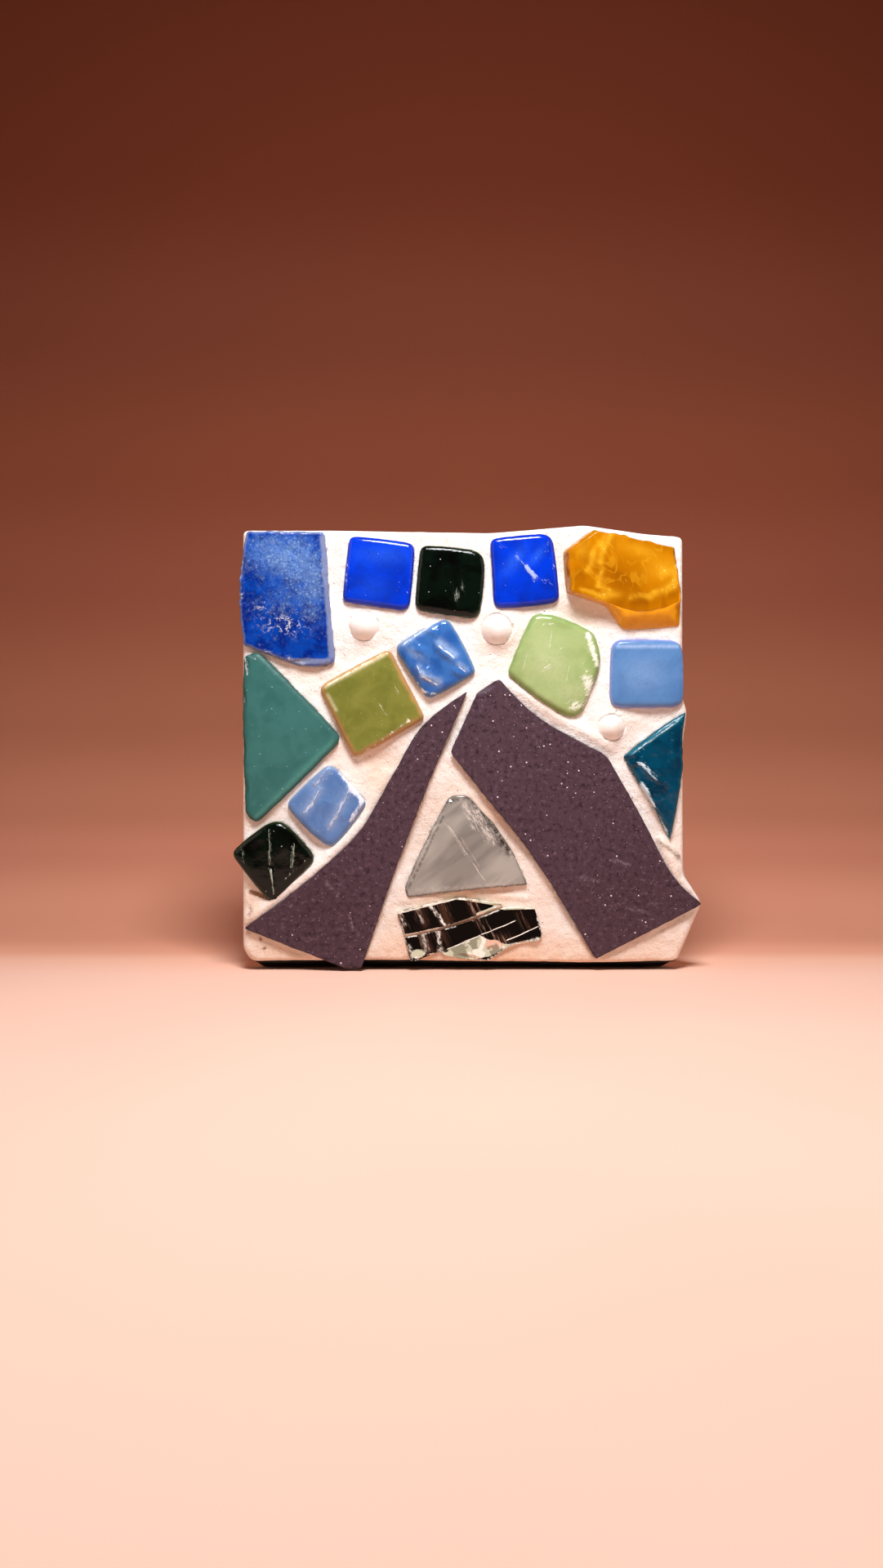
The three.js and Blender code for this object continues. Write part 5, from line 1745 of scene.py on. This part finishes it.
    def build(self, frame: dict) -> bpy.types.Object:
        """Makes and dresses the block.


        Returns:
            The block.
        """
        n = self.per_side
        rows = self.rows()
        flat = self.lattice(rows[-1, :, 0] + 1j * rows[-1, :, 2])
        x, z = flat.real, flat.imag
        gap, bed = self.beds(frame, x, z)
        collar = 0.1 * np.exp(-((np.clip(gap, 0, None) / 0.45) ** 2))
        rise = self.rise(x, z)
        front = GROUT_FACE - np.minimum(rise + collar * np.clip(1 - rise, 0, 1), self.highest)
        front = np.where(np.isnan(bed), front, bed)
        border = np.zeros((n + 1, n + 1), bool)
        border[[0, -1], :] = border[:, [0, -1]] = True
        rings, around = rows.shape[:2]
        numbers = np.arange(rings * around).reshape(rings, around)
        grid = np.empty((n + 1, n + 1), int)
        last = numbers[-1]
        grid[0, :], grid[:, -1] = (last[: n + 1], last[n : 2 * n + 1])
        grid[-1, :], grid[:, 0] = (last[2 * n : 3 * n + 1][::-1], np.append(last[3 * n :], last[0])[::-1])
        grid[~border] = rings * around + np.arange((n - 1) ** 2)
        inner = np.stack([x, front, z], axis=-1)[~border]
        pole = rings * around + len(inner)
        places = np.vstack([rows.reshape(-1, 3), inner, rows[0].mean(axis=0)])
        face = np.stack([grid[:-1, :-1], grid[:-1, 1:], grid[1:, 1:], grid[1:, :-1]], axis=-1).reshape(-1, 4)
        fan = np.stack([np.full(around, pole), np.roll(numbers[0], -1), numbers[0]], axis=-1)
        quads = np.vstack([quads_between(numbers), face])
        piece = write_piece("grout_block_dressed", places, quads, fan, self.masks(*places.T))
        return place_piece(piece, "grout_block", Finish.GROUT)

    def masks(self, x: Array, y: Array, z: Array) -> dict[str, Array]:
        """Where the block is soiled and has painted crease shade, where black shade is painted under its lip,
        and where warm stains and painted warm shade lie.
        """
        under_lip = np.clip((y + 7.75) / 0.3, 0, 1) * np.clip((-y - 3.9) / 0.5, 0, 1)
        # Painted shade: the underside of the front lip and the wall behind it, away from the sides, are
        # painted nearly black.
        lip_shade = under_lip * np.clip(2.7 - z, 0, 1) * np.clip((33.0 - np.abs(x)) / 0.8, 0, 1)
        front_part = np.clip((-y - 5.5) / 1.5, 0, 1)
        handled = 0.35 * np.clip(0.5 + 0.5 * Grain(6.0, 71, 3)(x + y, z), 0, 1) * (1 - front_part)
        dirt_and_shade = np.clip(self.stains_and_crease_shade(x, z) * front_part + handled, 0, 1)
        return {"dirt_and_shade": dirt_and_shade, "lip_shade": lip_shade, "warm": np.clip(self.warm_stain_and_shade(x, z), 0, 1)}


@dataclass(frozen=True)
class Studio:
    """A pale floor that sweeps up into a darker backdrop, whose darkening and shadow band are painted shade,
    three lamps, dim surroundings and the camera.
    """

    # Painted shade: the colour darkens up the backdrop as the light falls off, with a painted shadow band
    # behind the panel at 0.11.
    painted_sweep_shade: tuple[tuple[float, Tint], ...] = (
        (0.0, paint("f9cbb7")), (0.04, paint("fac4ab")), (0.075, paint("f0ad90")), (0.11, paint("e59f83")),
        (0.16, paint("cc866d")), (0.2, paint("bb7a60")),
        (0.3, paint("a4674e")), (0.47, paint("90533e")), (0.6, paint("834731")), (0.77, paint("753d2a")),
        (0.96, paint("6b311d")),
    )  # fmt: skip
    surroundings: Tint = (1.0, 0.60, 0.43)
    dimness: float = 0.1
    eye: tuple[float, float, float] = (-3.4, -184.2, 28.4)
    lens: float = 26.58
    lamps: tuple[
        tuple[str, tuple[float, float, float], tuple[float, float, float], float, float, Tint], ...,
    ] = (
        ("key", (4, -120, 195), (0, 0, 36), 70, 0.54, (0.97, 0.98, 1.0)),
        ("left fill", (-330, -160, 190), (0, 0, 30), 260, 0.17, (1.0, 0.8, 0.68)),
        ("right fill", (330, -160, 190), (0, 0, 30), 260, 0.17, (1.0, 0.8, 0.68)),
    )

    def sweep(self) -> None:
        """The floor and backdrop as one sheet: a flat run, a quarter circle and an upright run."""
        turn = np.linspace(0, math.pi / 2, 25)
        radius = 90.0
        y = np.concatenate([[-900.0, -200.0], 30 + radius * np.sin(turn), [30 + radius]])
        z = np.concatenate([[0.0, 0.0], radius * (1 - np.cos(turn)), [900.0]])
        x = np.linspace(-700, 700, 9)
        places = np.stack(
            [np.broadcast_to(v, (y.size, x.size)) for v in (x[None], y[:, None], z[:, None])], axis=-1,
        )
        n = np.arange(y.size * x.size).reshape(y.size, x.size)
        quads = np.stack([n[:-1, :-1], n[:-1, 1:], n[1:, 1:], n[1:, :-1]], axis=-1).reshape(-1, 4)
        sheet = write_piece("paper_sweep", places.reshape(-1, 3), quads, np.empty((0, 3), int), {})
        g = Graph("painted_sweep_shade")
        depth, height = (g.node(
            "ShaderNodeSeparateXYZ", {}, {"Vector": g.place}, axis,
        ) for axis in ("Y", "Z"))
        up = depth.between(-20, 30, 0, 0.1) + height * 0.0045
        # The colour steps up the sheet carry the painted shade.
        colour = self.painted_sweep_shade[0][1]
        for (low, _), (high, shade) in zip(self.painted_sweep_shade, self.painted_sweep_shade[1:]):
            colour = g.mix(up.between(low, high), colour, shade)
        colour = g.mix(g.cloud(60.0, 2).between(0.3, 0.7, 0, 0.05), colour, self.painted_sweep_shade[-1][1])
        sheet.data.materials.append(g.surface(
            colour, 0.9, g.bump(g.cloud(0.8, 4), 0.01), Specular_IOR_Level=0.2,
        ))

    def build(self) -> None:
        """Makes the sweep, the lamps, the surroundings and the camera."""
        self.sweep()
        scene = bpy.context.scene
        for name, place, target, size, power, tint in self.lamps:
            lamp = bpy.data.lights.new(name, "AREA")
            lamp.shape, lamp.size, lamp.energy, lamp.color = "DISK", size * MM, power, tint
            held = bpy.data.objects.new(name, lamp)
            start, end = (np.array(place) * MM, np.array(target) * MM)
            held.location = start
            held.rotation_euler = Vector(end - start).to_track_quat("-Z", "Y").to_euler()
            scene.collection.objects.link(held)
        world = bpy.data.worlds.new("surroundings")
        world.use_nodes = True
        background = world.node_tree.nodes["Background"].inputs
        background["Color"].default_value = (*self.surroundings, 1)
        background["Strength"].default_value = self.dimness
        scene.world = world
        scene.view_settings.view_transform = "Standard"
        camera = bpy.data.cameras.new("camera")
        camera.lens, camera.sensor_width, camera.clip_start, camera.clip_end = self.lens, 36.0, 0.01, 10.0
        held = bpy.data.objects.new("camera", camera)
        held.location, held.rotation_euler = tuple(c * MM for c in self.eye), (math.pi / 2, 0, 0)
        scene.collection.objects.link(held)
        scene.camera = held


def main() -> None:
    """Loads the frame and builds the camera, the block, the sky and the tent in order."""
    logging.basicConfig(level=logging.INFO, format="%(message)s")
    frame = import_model()
    Studio().build()
    GroutBlock().build(frame)
    Sky().build(frame)
    Tent().build(frame)


if __name__ == "__main__":
    main()
